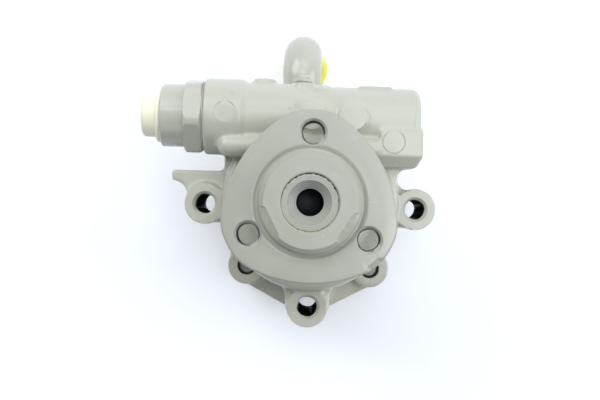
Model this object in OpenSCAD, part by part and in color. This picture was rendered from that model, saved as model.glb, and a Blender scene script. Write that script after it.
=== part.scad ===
// Vane-type power steering pump with a cast body, a cross valve housing and a pulley flange.
// Origin: on the shaft axis, in the plane of the mounting ears' front faces.
// +Z runs along the shaft to the pulley, +Y to the suction pipe, -X to the pressure outlet.

/* [Fits] */
// Gap of a pressed or clamped seat
seat_gap = 0.02; // [0.01:0.01:0.04]
// Radial gap of a running fit
run_gap = 0.03; // [0.02:0.01:0.06]
// Gap between the rotor's end faces and the plates beside it
side_gap = 0.03; // [0.02:0.01:0.06]

/* [Body] */
// Radius of the round barrel
barrel_r = 28.2; // [27.8:0.1:30]
// Depth from the ears' front faces back to the cover joint
body_depth = 35; // [34:0.5:38]
// Height of the barrel's front face above the ears
barrel_rise = 3; // [1:0.5:4]
// Rounding of the barrel's front edge
barrel_round = 2.5; // [1:0.5:4]
// Radius of the nose round the shaft seal
nose_r = 18.8; // [17.5:0.1:19.5]
// Height of the nose above the ears
nose_rise = 13; // [11.5:0.5:15]
// Half width of the neck that carries the valve housing
neck_half = 27.9; // [26.5:0.1:27.9]
// Drop of the neck and the webs below the ears' front faces
web_drop = 2.5; // [1:0.5:5]
// Rounding of the casting's outer corners
cast_round = 0.6; // [0.3:0.1:0.9]

/* [Mounting ears] */
// Distance between the left and the right ear
ear_span = 67; // [66:0.5:72]
// Drop of the left and the right ear below the shaft axis
ear_drop = 1.3; // [0:0.1:2]
// Distance of the lower ear from the shaft axis
lower_reach = 33.4; // [32:0.1:36]
// Outer radius of an ear
ear_r = 6.6; // [6.2:0.1:7.5]
// Radius of the tapped hole in an ear
ear_hole_r = 3.4; // [2.5:0.05:3.8]
// Width of the chamfer at a tapped hole's mouth
thread_chamfer = 0.75; // [0.3:0.05:1]
// Fillet between the left ear and the neck
left_fillet = 1.5; // [1:0.1:3.5]
// Fillet between the right ear, the neck and the block above
right_fillet = 3; // [2:0.1:4]
// Half width of the web behind the lower ear
lower_web_half = 7.1; // [6.8:0.1:9]
// Fillet between that web and the barrel
lower_fillet = 5; // [2:0.5:7]

/* [Wing] */
// Distance of the wing's tip from the shaft axis
wing_reach = 44.7; // [43:0.1:48]
// Height of the wing's upper face above the shaft axis
wing_y = 9.3; // [9:0.1:11]
// Thickness of the wing at its tip
wing_t = 3.4; // [2.5:0.1:4]
// Fillet under the wing, down to the left ear
wing_fillet = 5; // [3:0.1:6]

/* [Rear flange and cover] */
// Distance of the cover bolts outside the barrel's wall
lobe_out = 2.1; // [1.6:0.1:3.8]
// Angle of the cover bolts above the X axis
lobe_angle = 46.5; // [44:0.5:48]
// Radius of a bolt lobe
lobe_r = 6.5; // [6:0.1:7.5]
// Length of a bolt lobe, measured from the cover joint
lobe_len = 13; // [11:0.5:16]
// Thickness of the ledge between the lobes
ledge_t = 7; // [4:0.5:9]
// Thickness of the rear cover's plate
cover_t = 9; // [8.5:0.5:12]
// Height of the boss behind the rear bush
cover_boss_h = 3; // [2:0.5:4]
// Radius of that boss at its foot
cover_boss_r = 15; // [13:0.5:17]
// Radius of a cover bolt's thread
bolt_r = 3; // [2.5:0.1:3.2]
// Width across flats of a cover bolt's head
bolt_af = 10; // [8:0.5:10]
// Height of a cover bolt's head with its flange
bolt_head_h = 6; // [5:0.5:8]
// Thickness of the flange under a cover bolt's head
bolt_flange_t = 1.4; // [1:0.1:2]

/* [Valve housing] */
// Height of the valve bore's axis above the shaft axis
valve_y = 26.4; // [26.2:0.1:27.5]
// Left face of the collar that takes the union
collar_x = -34.1; // [-36:0.1:-33.5]
// Outer radius of that collar
collar_r = 12.1; // [11.9:0.1:13]
// Length of that collar
collar_len = 12.2; // [11.8:0.1:14]
// Outer radius of the middle stretch
valve_mid_r = 11.1; // [10.8:0.1:11.8]
// Step down to the radius of the valve housing's right stretch
valve_step = 0.6; // [0.2:0.1:1]
// Step between the middle and the right stretch
valve_step_x = -5.2; // [-5.6:0.1:-5]
// Right end of the valve housing
valve_end_x = 33.8; // [33.4:0.1:36]
// Chamfer round that end
valve_end_chamfer = 1.7; // [1:0.1:2.5]
// Radius of the valve bore
valve_bore_r = 7; // [6.5:0.1:7.5]
// Right end of the valve bore
valve_bore_end_x = 29; // [28.5:0.5:30]
// Radius of the gallery tube in front of the neck
gallery_r = 3.5; // [3:0.1:3.8]
// Height of the gallery tube above the shaft axis
gallery_y = 17; // [16.5:0.1:18]
// Left end of the gallery tube's dome
gallery_end_x = -29.4; // [-31:0.1:-28.6]
// Distance of the gallery tube's axis in front of the ears' plane
gallery_z = 8.2; // [6:0.1:8.4]
// Left side of the block at the lower right
block_x0 = 20.9; // [19:0.1:22]
// Right side of that block
block_x1 = 34.5; // [34.2:0.1:37]
// Lower side of that block
block_y0 = 11.6; // [11.2:0.1:12.5]
// Upper side of that block
block_y1 = 23.7; // [23:0.1:24.5]
// Front face of that block
block_z = 11.2; // [10.5:0.1:12]
// Bevel along that block's lower front edge
block_bevel = 3.4; // [2:0.1:5]
// Radius of the round casting pads on the front
pad_r = 4.45; // [3.5:0.05:5]
// Height of the round casting pads
pad_h = 0.7; // [0.3:0.1:1.2]

/* [Pulley flange] */
// Gap between the body's nose and the flange's hub
hub_gap = 1.5; // [1:0.1:3]
// Length of the hub behind the plate
hub_len = 5; // [3:0.5:8]
// Outer radius of the hub
hub_r = 13; // [12:0.1:15]
// Thickness of the flange plate
plate_t = 5.5; // [4:0.1:8]
// Radius of the plate's rounded corners
corner_r = 12.1; // [10:0.1:13]
// Distance of the corner centres from the shaft axis
corner_reach = 15; // [14.5:0.1:16.5]
// Offset of the side arcs' centres past the shaft axis
side_offset = 11; // [8:0.1:13]
// Turn of the flange about the shaft as it stands
flange_turn = -1.1; // [-60:0.1:60]
// Softening of the plate's edges
plate_chamfer = 0.5; // [0.2:0.1:1]
// Radius of the pilot boss that centres the pulley
pilot_r = 15; // [14:0.05:16]
// Height of the pilot boss above the plate
pilot_h = 4; // [3:0.1:6]
// Width of the pilot boss's front chamfer
pilot_chamfer = 1.3; // [0.5:0.1:1.8]
// Outer radius of the turned groove at the pilot's foot
groove_r = 17; // [16.6:0.1:17.1]
// Depth of that groove
groove_depth = 0.4; // [0.2:0.1:1]
// Diameter of the pulley bolts' circle
pulley_pcd = 41.2; // [41:0.1:43]
// Radius of the tapped holes for the pulley bolts
pulley_hole_r = 3.4; // [2.5:0.05:3.4]

/* [Shaft] */
// Radius of the shaft's front journal
shaft_r = 8.5; // [8.3:0.05:8.7]
// Depth of the shaft's end below the pilot's front face
shaft_recess = 0.4; // [0.2:0.1:1]
// Radius of the shaft's centre bore
centre_r = 4.05; // [3:0.05:4.5]
// Depth of the shaft's centre bore
centre_depth = 24; // [16:1:32]
// Radius of the countersink at the shaft's end
countersink_r = 6.5; // [5.5:0.1:7]
// Radius of the shaft's tail in the rear bush
tail_r = 6.9; // [6.6:0.05:7]
// Wall of the rear bush
rear_bush_wall = 1.1; // [0.8:0.1:1.4]
// Wall of the front bush
front_bush_wall = 1.5; // [1:0.1:2]
// Outer radius of the shaft seal
seal_r = 13; // [12:0.1:13.5]
// Depth of the seal's pocket in the nose
seal_depth = 8; // [7:0.5:9]

/* [Pumping parts] */
// Radius of the pump cavity
cavity_r = 24; // [23.6:0.1:24.2]
// Depth of the pump cavity from the cover joint
cavity_depth = 22; // [21:0.5:23]
// Thickness of the front port plate
port_plate_t = 5; // [4.5:0.1:5.5]
// Thickness of the cam ring
cam_t = 14; // [13.5:0.1:14.5]
// Gap between the cam ring and the cavity's wall
cam_gap = 1.4; // [1:0.1:2]
// Smallest radius of the cam ring's track
cam_minor_r = 15.2; // [15.15:0.05:15.4]
// Lift of the cam ring's track
cam_lift = 2.2; // [1.5:0.1:2.4]
// Radius of the rotor
rotor_r = 15; // [14.8:0.05:15.05]
// Thickness of a vane
vane_t = 1.46; // [1.2:0.02:1.6]
// Radial height of a vane
vane_h = 5.2; // [5:0.1:5.5]
// Distance a vane can still sink into its slot
vane_float = 0.6; // [0.3:0.1:0.7]
// Radius of the dowel pins
dowel_r = 1.75; // [1.5:0.05:1.9]

/* [Outlet union] */
// Thickness of the union's seal washer
seal_t = 0.5; // [0.4:0.1:1.2]
// Width across flats of the union's hexagon
union_af = 22; // [21:0.5:24]
// Diameter to which the hexagon's corners are turned
union_turned_d = 24.2; // [24.2:0.1:28]
// Turn of the hexagon about its own axis
union_turn = 11.5; // [0:0.5:60]
// Length of the hexagon
union_hex_len = 5.5; // [4:0.1:8]
// Outer radius of the union's collar
union_collar_r = 9.9; // [9.5:0.1:10.4]
// Length of the union's collar
union_collar_len = 7.6; // [5:0.1:9]
// Radius of the union's thread in the housing
union_thread_r = 9; // [8.5:0.1:9.2]
// Length of that thread
union_thread_len = 11; // [9:0.5:11.5]
// Radius of the tapped bore for the pressure hose
outlet_r = 7.2; // [6.5:0.1:7.4]
// Depth of the tapped bore for the pressure hose
outlet_depth = 14; // [12:0.5:16]
// Radius of the metering orifice
orifice_r = 2; // [1:0.1:3]
// Radius of the shipping plug's flange
plug_flange_r = 8.6; // [8:0.1:9]
// Radius of the shipping plug's head
plug_head_r = 7; // [6:0.1:7.8]
// Length of the shipping plug's head
plug_head_len = 4.7; // [3:0.1:8]

/* [Flow valve] */
// Travel of the flow spool
spool_travel = 6; // [4:0.5:7]
// Radius of the flow spring to the middle of its wire
flow_spring_r = 4.6; // [4.2:0.1:5.2]
// Radius of the flow spring's wire
flow_wire_r = 0.65; // [0.5:0.05:0.8]
// Turns of the flow spring
flow_turns = 7; // [5:1:9]
// Radius of the relief ball
ball_r = 2.2; // [2:0.05:2.3]
// Radius of the relief seat's hole
seat_hole_r = 0.8; // [0.6:0.05:1]
// Radius of the relief chamber in the spool
relief_bore_r = 3; // [2.7:0.1:3.4]
// Turns of the relief spring
relief_turns = 6; // [4:1:8]

/* [Suction pipe] */
// Sideways place of the suction pipe
pipe_x = -3.9; // [-4.2:0.1:-3.4]
// Distance of the pipe's axis behind the ears' plane
pipe_back = 21; // [20.5:0.1:22]
// Outer radius of the pipe
pipe_r = 6.4; // [6:0.05:6.8]
// Wall of the pipe
pipe_wall = 1.2; // [0.8:0.1:1.8]
// Radius of the boss that takes the pipe
suction_boss_r = 10; // [9.5:0.1:11]
// Rise of that boss's top face above the valve housing's crest
suction_rise = 0.2; // [0.1:0.1:1]
// Depth of the pipe's socket
socket_depth = 10; // [8:0.5:12]
// Height at which the bend starts
bend_start_y = 42; // [41:0.1:46]
// Radius of the bend to the middle of the pipe
bend_r = 9; // [8:0.1:12]
// Angle of the bend
bend_angle = 104; // [90:1:106]
// Turn of the bend about the pipe's foot, towards the right
bend_yaw = 2; // [0:1:10]
// Straight length after the bend
pipe_tail = 11; // [9:0.5:12]
// Thickness of the pipe's clamp plate
bracket_t = 1.3; // [1:0.1:2]
// Distance of the clamp screw in front of the pipe's axis
bracket_reach = 24; // [23:0.1:24.5]
// Radius of the clamp screw's thread
screw_r = 1.8; // [1.5:0.1:1.9]
// Radius of the suction cap's flange
cap_flange_r = 8.1; // [7.2:0.1:9]

/* [Hidden] */
$fn = 96;
arc_steps = 6;
outline_steps = 12;
cut_over = 1;
nest = 0.4;
tangent_inset = 0.04;
outline_fn = 64;
hex_sides = 6;
vane_count = 10;
vane_names = [for (i = [1:vane_count]) str("vane_", i < 10 ? "0" : "", i)];

paint = "#b8b7ab";
bare_steel = "#9a9c9e";
bronze = "#a98a55";
black_rubber = "#2a2a2c";
cream_plastic = "#efeedd";
yellow_plastic = "#f2d21c";

// Heights along the shaft
joint_z = -body_depth;
cavity_floor = joint_z + cavity_depth;
port_front = cavity_floor - seat_gap;
port_back = port_front - port_plate_t;
cam_front = port_back - seat_gap;
cam_back = cam_front - cam_t;
spigot_face = cam_back - seat_gap;
rotor_front = port_back - side_gap;
rotor_back = spigot_face + side_gap;
cover_back = joint_z - cover_t;
boss_back = cover_back - cover_boss_h;
seal_floor = nose_rise - seal_depth;
hub_back = nose_rise + hub_gap;
plate_back = hub_back + hub_len;
plate_front = plate_back + plate_t;
pilot_front = plate_front + pilot_h;
shaft_front = pilot_front - shaft_recess;
lobe_front = joint_z + lobe_len;
ledge_front = joint_z + ledge_t;

// Shaft, bushes and circlip
nose_chamfer = 1;
nose_fillet = 2.5;
bush_inset = 0.5;
front_bush_r = shaft_r + run_gap + front_bush_wall;
rear_bush_r = tail_r + run_gap + rear_bush_wall;
spline_teeth = 16;
spline_root_share = 0.38;
spline_tip_share = 0.18;
spline_root_r = tail_r + 0.1;
spline_tip_r = spline_root_r + 0.8;
clip_t = 1.2;
clip_r = tail_r + 2.4;
clip_groove = 0.7;
clip_gap_angle = 50;
clip_recess_r = clip_r + 0.6;
clip_recess_depth = 2.6;
clip_front = rotor_back - 0.2;
rear_bush_front = spigot_face - clip_recess_depth;
rear_bush_len = 8;
rear_bush_back = rear_bush_front - rear_bush_len;
tail_end_gap = 0.8;
tail_back = rear_bush_back + tail_end_gap;
shaft_chamfer = 0.5;
lip_t = 1.6;

// Pumping parts
cam_r = cavity_r - cam_gap;
dowel_reach = (cam_minor_r + cam_r) / 2;
dowel_sink = 3;
vane_tip_gap = 0.1;
vane_side_gap = 0.02;
slot_root_r = 1.05;
vane_tip_rest = cam_minor_r - vane_tip_gap;
slot_floor = vane_tip_rest - vane_h - vane_float;
slot_w = vane_t + 2 * vane_side_gap;
cam_points = 120;
ring_wire_r = 0.74;
ring_groove_w = 1.9;
ring_groove_d = 1.52;
pressure_groove_r = cam_minor_r + cam_lift + 2;
pressure_groove_depth = 2.5;
kidney_angle = 36;
pressure_from = 115;
suction_from = 30;
groove_wall = 2;
kidney_w = 2;

// Rear cover bolts
lobe_reach = barrel_r + lobe_out;
lobe_angles = [lobe_angle, 180 - lobe_angle, 180 + lobe_angle, 360 - lobe_angle];
bolt_flange_r = bolt_af / 2 + 1.2;
bolt_hole_gap = 0.3;
ring_bolt_gap = 0.46;
cover_ring_r = lobe_reach - bolt_r - ring_bolt_gap - ring_wire_r;
bolt_end = lobe_front - 3;
cover_chamfer = 1.5;
rest_z = cover_back - bolt_head_h;

// Valve housing and union
valve_right_r = valve_mid_r - valve_step;
valve_chamfer = 1.2;
neck_front = -1;
mark_r = 3.45;
mark_sink = 0.25;
mark_in = 4.4;
front_pad_x = [-0.2, 12.4];
front_pad_rise = 0.5;
upper_boss_a = [-15.6, 0, 3.5];
upper_boss_b = [2.75, 25, 2.6];
upper_boss_a_rise = 1.3;
upper_boss_b_rise = 0.6;
upper_pad_x = [14.5, 24.7];
upper_pad_rise = 0.3;
pressure_way_angle = 128;
seal_face_x = collar_x - seal_t;
hex_x0 = seal_face_x - union_hex_len;
union_x0 = hex_x0 - union_collar_len;
thread_end_x = collar_x + union_thread_len;
valve_mouth_x = thread_end_x + 1;
union_chamfer = 0.8;
plug_flange_t = 1.4;
plug_stem_len = 9;
plug_hollow_wall = 1.6;

// Flow valve, from the union's inner end to the bore's blind end
land_r = valve_bore_r - run_gap;
spool_x0 = thread_end_x + seat_gap;
spool_nose_r = 4.5;
spool_groove_r = relief_bore_r + 2.4;
bypass_r = 2.4;
land_a_len = 4.5;
land_gap_len = 3.5;
land_b_len = 7;
land_a_x1 = pipe_x - bypass_r - 0.5;
land_a_x0 = land_a_x1 - land_a_len;
land_b_x0 = land_a_x1 + 2 * bypass_r + land_gap_len;
land_b_x1 = land_b_x0 + land_b_len;
seat_len = 5;
seat_x0 = land_b_x1 - seat_len;
seat_stick = sqrt(ball_r * ball_r - seat_hole_r * seat_hole_r);
ball_x = seat_x0 - seat_stick - run_gap;
relief_x0 = land_a_x0 - 1;
relief_spring_r = 1.7;
relief_wire_r = 0.35;
vent_r = 1;
coil_sides = 8;
coil_steps = 16;

// Suction
pipe_z = -pipe_back;
pipe_bore_r = pipe_r - pipe_wall;
suction_top = valve_y + valve_mid_r + suction_rise;
socket_y = suction_top - socket_depth;
pipe_ring_r = pipe_r + 0.9;
pipe_ring_wire = 0.86;
pipe_ring_w = 1.9;
suction_way_r = pipe_bore_r - 0.4;
tab_shift = 0.9;
tab_place = [tab_shift, -bracket_reach];
tab_root = tab_place * suction_boss_r / norm(tab_place);
tab_r = screw_r + 1;
screw_head_r = tab_r - nest;
screw_head_h = 1;
screw_len = 3.6;
screw_floor = suction_top + bracket_t - screw_len - bolt_hole_gap;
suction_dip = 2;
bend_lap = 0.3;
bend_step = 0.12;
cap_flange_t = 1.6;
cap_stem_len = 8;
cap_grip_len = 3;

// Unit vector at an angle, and points on an arc
function way(a) = [cos(a), sin(a)];
function arc(c, r, a, b, n = arc_steps) = [for (i = [0:n]) c + r * way(a + (b - a) * i / n)];

// Track of the cam ring: two smooth lobes, lowest on the X axis
function cam_track(a) = cam_minor_r + cam_lift * (1 - cos(2 * a)) / 2;

// Pulley flange: corner arcs joined by flatter side arcs that touch them
side_swing = atan2(side_offset * sin(60), corner_reach + side_offset * cos(60));
side_r = corner_r + norm([corner_reach + side_offset * cos(60), side_offset * sin(60)]);
corner_angles = [90, 210, 330];
function flange_corner(a, inset) =
  arc(corner_reach * way(a), corner_r - inset, a - side_swing, a + side_swing, outline_steps);
function flange_side(a, inset) =
  arc(side_offset * way(a + 240), side_r - inset, a + side_swing, a + 120 - side_swing, outline_steps);
function trim_last(v) = [for (i = [0:len(v) - 2]) v[i]];
function flange_outline(inset) = [
  for (a = corner_angles)
    each concat(trim_last(flange_corner(a, inset)), trim_last(flange_side(a, inset)))
];

lower_ear = [0, -lower_reach];
ear_places = [[-ear_span / 2, -ear_drop], [ear_span / 2, -ear_drop], lower_ear];
lobe_places = [for (a = lobe_angles) lobe_reach * way(a)];

// Shared shapes
module post(r, z0, z1) {
  translate([0, 0, z0])
    cylinder(r = r, h = z1 - z0);
}

module cone(r0, z0, r1, z1) {
  translate([0, 0, z0])
    cylinder(r1 = r0, r2 = r1, h = z1 - z0);
}

module tube(r_out, r_in, z0, z1) {
  difference() {
    post(r_out, z0, z1);
    post(r_in, z0 - cut_over, z1 + cut_over);
  }
}

module slab(z0, z1) {
  translate([0, 0, z0])
    linear_extrude(z1 - z0)
      children();
}

// Turns a shape made along Z so that it lies along the valve bore or along the pipe's foot
module on_valve() {
  translate([0, valve_y, 0])
    rotate([0, 90, 0])
      children();
}

module on_pipe() {
  translate([pipe_x, 0, pipe_z])
    rotate([-90, 0, 0])
      children();
}

module at_each(places) {
  for (p = places)
    translate([p[0], p[1], 0])
      children();
}

// Two circles and the tangents that join them
module bar(a, ra, b, rb) {
  along = atan2(b[1] - a[1], b[0] - a[0]);
  lean = acos((ra - rb) / norm(b - a));
  in_a = ra - tangent_inset;
  in_b = rb - tangent_inset;
  translate(a)
    circle(ra);
  translate(b)
    circle(rb);
  polygon([
    a + in_a * way(along + lean), b + in_b * way(along + lean),
    b + in_b * way(along - lean), a + in_a * way(along - lean)
  ]);
}

module box_outline(x0, y0, x1, y1) {
  translate([x0, y0])
    square([x1 - x0, y1 - y0]);
}

module fillet_in(r) {
  offset(r = -r)
    offset(delta = r)
      children();
}

module soft_corners(r) {
  offset(r = r)
    offset(delta = -r)
      children();
}

module o_ring(r, wire_r) {
  rotate_extrude()
    translate([r, 0])
      circle(wire_r);
}

module tapped_hole(r, z0, z1) {
  post(r, z0 - cut_over, z1 + cut_over);
  cone(r, z1 - thread_chamfer, r + thread_chamfer + cut_over, z1 + cut_over);
}

// A closed helical wire of round section, standing on Z
function coil_point(r, wire, rise, t, a) = [
  (r + wire * cos(a)) * cos(t),
  (r + wire * cos(a)) * sin(t),
  wire + rise * t / 360 + wire * sin(a)
];
module coil(r, wire, length, turns) {
  rise = (length - 2 * wire) / turns;
  rings = turns * coil_steps;
  points = [
    for (i = [0:rings])
      for (k = [0:coil_sides - 1])
        coil_point(r, wire, rise, 360 * i / coil_steps, 360 * k / coil_sides)
  ];
  skin = [
    for (i = [0:rings - 1])
      for (k = [0:coil_sides - 1])
        let (j = (k + 1) % coil_sides)
          [i * coil_sides + k, i * coil_sides + j, (i + 1) * coil_sides + j, (i + 1) * coil_sides + k]
  ];
  first_cap = [for (k = [0:coil_sides - 1]) coil_sides - 1 - k];
  last_cap = [for (k = [0:coil_sides - 1]) rings * coil_sides + k];
  polyhedron(points, concat([first_cap, last_cap], skin), convexity = 10);
}

// Housing: barrel and nose as one turned form
module barrel() {
  rotate_extrude()
    polygon(concat(
      [[0, joint_z], [barrel_r, joint_z]],
      arc([barrel_r - barrel_round, barrel_rise - barrel_round], barrel_round, 0, 90),
      arc([nose_r + nose_fillet, barrel_rise + nose_fillet], nose_fillet, 270, 180),
      [[nose_r, nose_rise - nose_chamfer], [nose_r - nose_chamfer, nose_rise], [0, nose_rise]]
    ));
}

module neck_half_outline(side) {
  scale([side, 1])
    box_outline(0, 0, neck_half, gallery_y);
}

module ear_bar(place) {
  bar(place / 2, ear_r - nest, place, ear_r - nest);
}

module wing_outline() {
  box_outline(-wing_reach, wing_y - wing_t, -neck_half + cut_over, wing_y);
}

module web_outline() {
  $fn = outline_fn;
  soft_corners(cast_round) {
    fillet_in(left_fillet) {
      neck_half_outline(-1);
      wing_outline();
      ear_bar(ear_places[0]);
    }
    fillet_in(wing_fillet) {
      wing_outline();
      translate(ear_places[0])
        circle(ear_r - nest);
    }
    fillet_in(right_fillet) {
      neck_half_outline(1);
      box_outline(block_x0, block_y0, block_x1 - block_bevel, block_y1 - nest);
      ear_bar(ear_places[1]);
    }
    fillet_in(lower_fillet) {
      circle(barrel_r - nest);
      ear_bar(lower_ear);
      box_outline(-lower_web_half, -lower_reach, lower_web_half, 0);
    }
  }
}

module ledge_outline() {
  $fn = outline_fn;
  soft_corners(cast_round) {
    circle(barrel_r - 2 * nest);
    for (i = [0:3])
      bar(lobe_places[i], lobe_r - nest, lobe_places[(i + 1) % 4], lobe_r - nest);
    for (i = [2, 3])
      bar(lobe_places[i], lobe_r - nest, lower_ear, ear_r - 2 * nest);
  }
}

// The cross housing's outside, turned along the valve bore
module valve_body() {
  on_valve()
    rotate_extrude()
      polygon([
        [0, collar_x], [collar_r - valve_chamfer / 2, collar_x], [collar_r, collar_x + valve_chamfer / 2],
        [collar_r, collar_x + collar_len], [valve_mid_r, collar_x + collar_len + valve_chamfer / 2],
        [valve_mid_r, valve_step_x], [valve_right_r, valve_step_x + valve_chamfer / 4],
        [valve_right_r, valve_end_x - valve_end_chamfer], [valve_right_r - valve_end_chamfer, valve_end_x],
        [0, valve_end_x]
      ]);
}

module lower_block() {
  block_back = -valve_right_r + nest;
  intersection() {
    slab(block_back, block_z)
      polygon([
        [block_x0, block_y0], [block_x1 - block_bevel / 2, block_y0], [block_x1, block_y0 + block_bevel],
        [block_x1, block_y1], [block_x0, block_y1]
      ]);
    rotate([0, 90, 0])
      slab(block_x0 - cut_over, block_x1 + cut_over)
        polygon([
          [-block_back, block_y0], [-block_z + block_bevel, block_y0], [-block_z, block_y0 + block_bevel],
          [-block_z, block_y1 - valve_chamfer], [-block_z + valve_chamfer, block_y1], [-block_back, block_y1]
        ]);
  }
}

module gallery() {
  dome_x = gallery_end_x + gallery_r;
  translate([0, gallery_y, gallery_z])
    rotate([0, 90, 0])
      rotate_extrude()
        polygon(concat(
          [[0, block_x0 + nest]],
          [[gallery_r, block_x0 + nest]],
          arc([0, dome_x], gallery_r, 0, -90)
        ));
  slab(neck_front - cut_over, gallery_z)
    bar([dome_x, gallery_y], gallery_r - nest, [block_x0 + nest, gallery_y], gallery_r - nest);
}

module suction_boss() {
  on_pipe() {
    post(suction_boss_r, gallery_y, suction_top);
    slab(gallery_y, suction_top)
      bar(tab_root, tab_r + nest, tab_place, tab_r + nest);
  }
}

collar_mark = [collar_x + collar_len / 2 + cut_over, valve_y + front_pad_rise];
block_mark = [block_x0 + mark_in, block_y1 - mark_in];
module front_marks() {
  at_each([for (x = front_pad_x) [x, valve_y + front_pad_rise]])
    post(pad_r, 0, valve_right_r + pad_h);
  at_each([collar_mark])
    post(mark_r, 0, collar_r - mark_sink);
  at_each([block_mark])
    post(mark_r, 0, block_z + mark_sink / 2);
}

// Low round bosses and a pad on the upper side of the cross housing
// A boss has its place along the valve, its tilt to the front and its radius
module upper_boss(boss, top_r) {
  translate([boss[0], valve_y, 0])
    rotate([boss[1] - 90, 0, 0])
      post(boss[2], 0, top_r);
}

module upper_marks() {
  upper_boss(upper_boss_a, valve_mid_r + upper_boss_a_rise);
  upper_boss(upper_boss_b, valve_right_r + upper_boss_b_rise);
  translate([upper_pad_x[0], valve_y, -pad_r])
    cube([upper_pad_x[1] - upper_pad_x[0], valve_right_r + upper_pad_rise, 2 * pad_r]);
}

module casting() {
  barrel();
  slab(joint_z, -web_drop)
    web_outline();
  slab(joint_z, ledge_front)
    ledge_outline();
  at_each(ear_places)
    post(ear_r, joint_z, 0);
  at_each(lobe_places)
    post(lobe_r, joint_z, lobe_front);
  translate([-neck_half + nest, 0, ledge_front])
    cube([2 * (neck_half - nest), valve_y, neck_front - ledge_front]);
  valve_body();
  lower_block();
  gallery();
  suction_boss();
  front_marks();
  upper_marks();
}

// A straight drilling between two points
module drilling(p, q, r) {
  d = q - p;
  translate(p)
    rotate([0, acos(d[2] / norm(d)), atan2(d[1], d[0])])
      cylinder(r = r, h = norm(d));
}

module housing_bores() {
  post(seal_r + seat_gap, seal_floor, nose_rise + cut_over);
  post(front_bush_r + seat_gap, cavity_floor - cut_over, seal_floor + cut_over);
  post(cavity_r, joint_z - cut_over, cavity_floor);
  difference() {
    post(pressure_groove_r, cavity_floor - cut_over, cavity_floor + pressure_groove_depth);
    post(front_bush_r + groove_wall, cavity_floor - 2 * cut_over,
      cavity_floor + pressure_groove_depth + cut_over);
  }
  at_each(ear_places)
    tapped_hole(ear_hole_r, joint_z, 0);
  at_each(lobe_places)
    post(bolt_r + seat_gap, joint_z - cut_over, lobe_front);
  at_each([lobe_places[2], lobe_places[3]])
    post(bolt_r + seat_gap, joint_z - cut_over, lobe_front + cut_over);
}

module valve_bores() {
  on_valve() {
    post(union_thread_r + seat_gap, collar_x - cut_over, valve_mouth_x);
    post(valve_bore_r, valve_mouth_x - cut_over, valve_bore_end_x);
  }
  at_each([collar_mark])
    post(mark_r, collar_r - mark_sink, collar_r + cut_over);
  drilling(
    concat((pressure_groove_r - cut_over) * way(pressure_way_angle), [cavity_floor - cut_over]),
    [land_a_x0 - bypass_r, valve_y, 0],
    bypass_r - nest
  );
  drilling([pipe_x, valve_y, 0], [pipe_x, valve_y, pipe_z], bypass_r);
}

module suction_bores() {
  on_pipe() {
    post(pipe_r + seat_gap, socket_y, suction_top + cut_over);
    post(suction_way_r, cavity_r - suction_dip, socket_y + cut_over);
    post(pipe_ring_r + pipe_ring_wire + seat_gap, suction_top - pipe_ring_w, suction_top + cut_over);
    translate(tab_place)
      post(screw_r + seat_gap, screw_floor, suction_top + cut_over);
  }
}

module housing() {
  color(paint)
    difference() {
      casting();
      housing_bores();
      valve_bores();
      suction_bores();
    }
}

// Rear cover with its spigot, bush bore and bolt holes
module cover_outline(inset) {
  $fn = outline_fn;
  soft_corners(cast_round) {
    circle(barrel_r - inset);
    for (i = [0:3])
      bar(lobe_places[i], lobe_r - inset, lobe_places[(i + 1) % 4], lobe_r - inset);
  }
}

module rear_cover() {
  color(paint)
    difference() {
      union() {
        slab(cover_back + cover_chamfer, joint_z - seat_gap)
          cover_outline(0);
        slab(cover_back, cover_back + 2 * cover_chamfer)
          cover_outline(cover_chamfer / 2);
        post(cavity_r - seat_gap, joint_z - cut_over, spigot_face);
        cone(cover_boss_r - cover_boss_h / 2, boss_back, cover_boss_r, cover_back + cut_over / 2);
      }
      post(clip_recess_r, rear_bush_front, spigot_face + cut_over);
      post(rear_bush_r + seat_gap, rear_bush_back - seat_gap, rear_bush_front + cut_over);
      tube(cover_ring_r + ring_groove_w / 2, cover_ring_r - ring_groove_w / 2,
        joint_z - seat_gap - ring_groove_d, joint_z + cut_over);
      at_each(lobe_places)
        post(bolt_r + bolt_hole_gap, cover_back - cut_over, joint_z + cut_over);
      at_each([[dowel_reach, 0], [-dowel_reach, 0]])
        post(dowel_r + seat_gap, spigot_face - dowel_sink, spigot_face + cut_over);
    }
}

module cover_bolt() {
  flange_back = cover_back - seat_gap - bolt_flange_t;
  post(bolt_r, cover_back - seat_gap - cut_over, bolt_end);
  post(bolt_flange_r, flange_back, cover_back - seat_gap);
  translate([0, 0, rest_z])
    cylinder(d = bolt_af / cos(180 / hex_sides), h = flange_back - rest_z + cut_over / 2, $fn = hex_sides);
}

module cover_bolts() {
  color(paint)
    at_each(lobe_places)
      cover_bolt();
}

module cover_o_ring() {
  color(black_rubber)
    translate([0, 0, joint_z - seat_gap - ring_wire_r - seat_gap])
      o_ring(cover_ring_r, ring_wire_r);
}

module dowel_pins() {
  color(bare_steel)
    at_each([[dowel_reach, 0], [-dowel_reach, 0]])
      post(dowel_r, spigot_face - dowel_sink + bush_inset, port_front - bush_inset);
}

module front_bush() {
  color(bronze)
    tube(front_bush_r, shaft_r + run_gap, cavity_floor + bush_inset, seal_floor - bush_inset);
}

module rear_bush() {
  color(bronze)
    tube(rear_bush_r, tail_r + run_gap, rear_bush_back, rear_bush_front - bush_inset);
}

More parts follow.
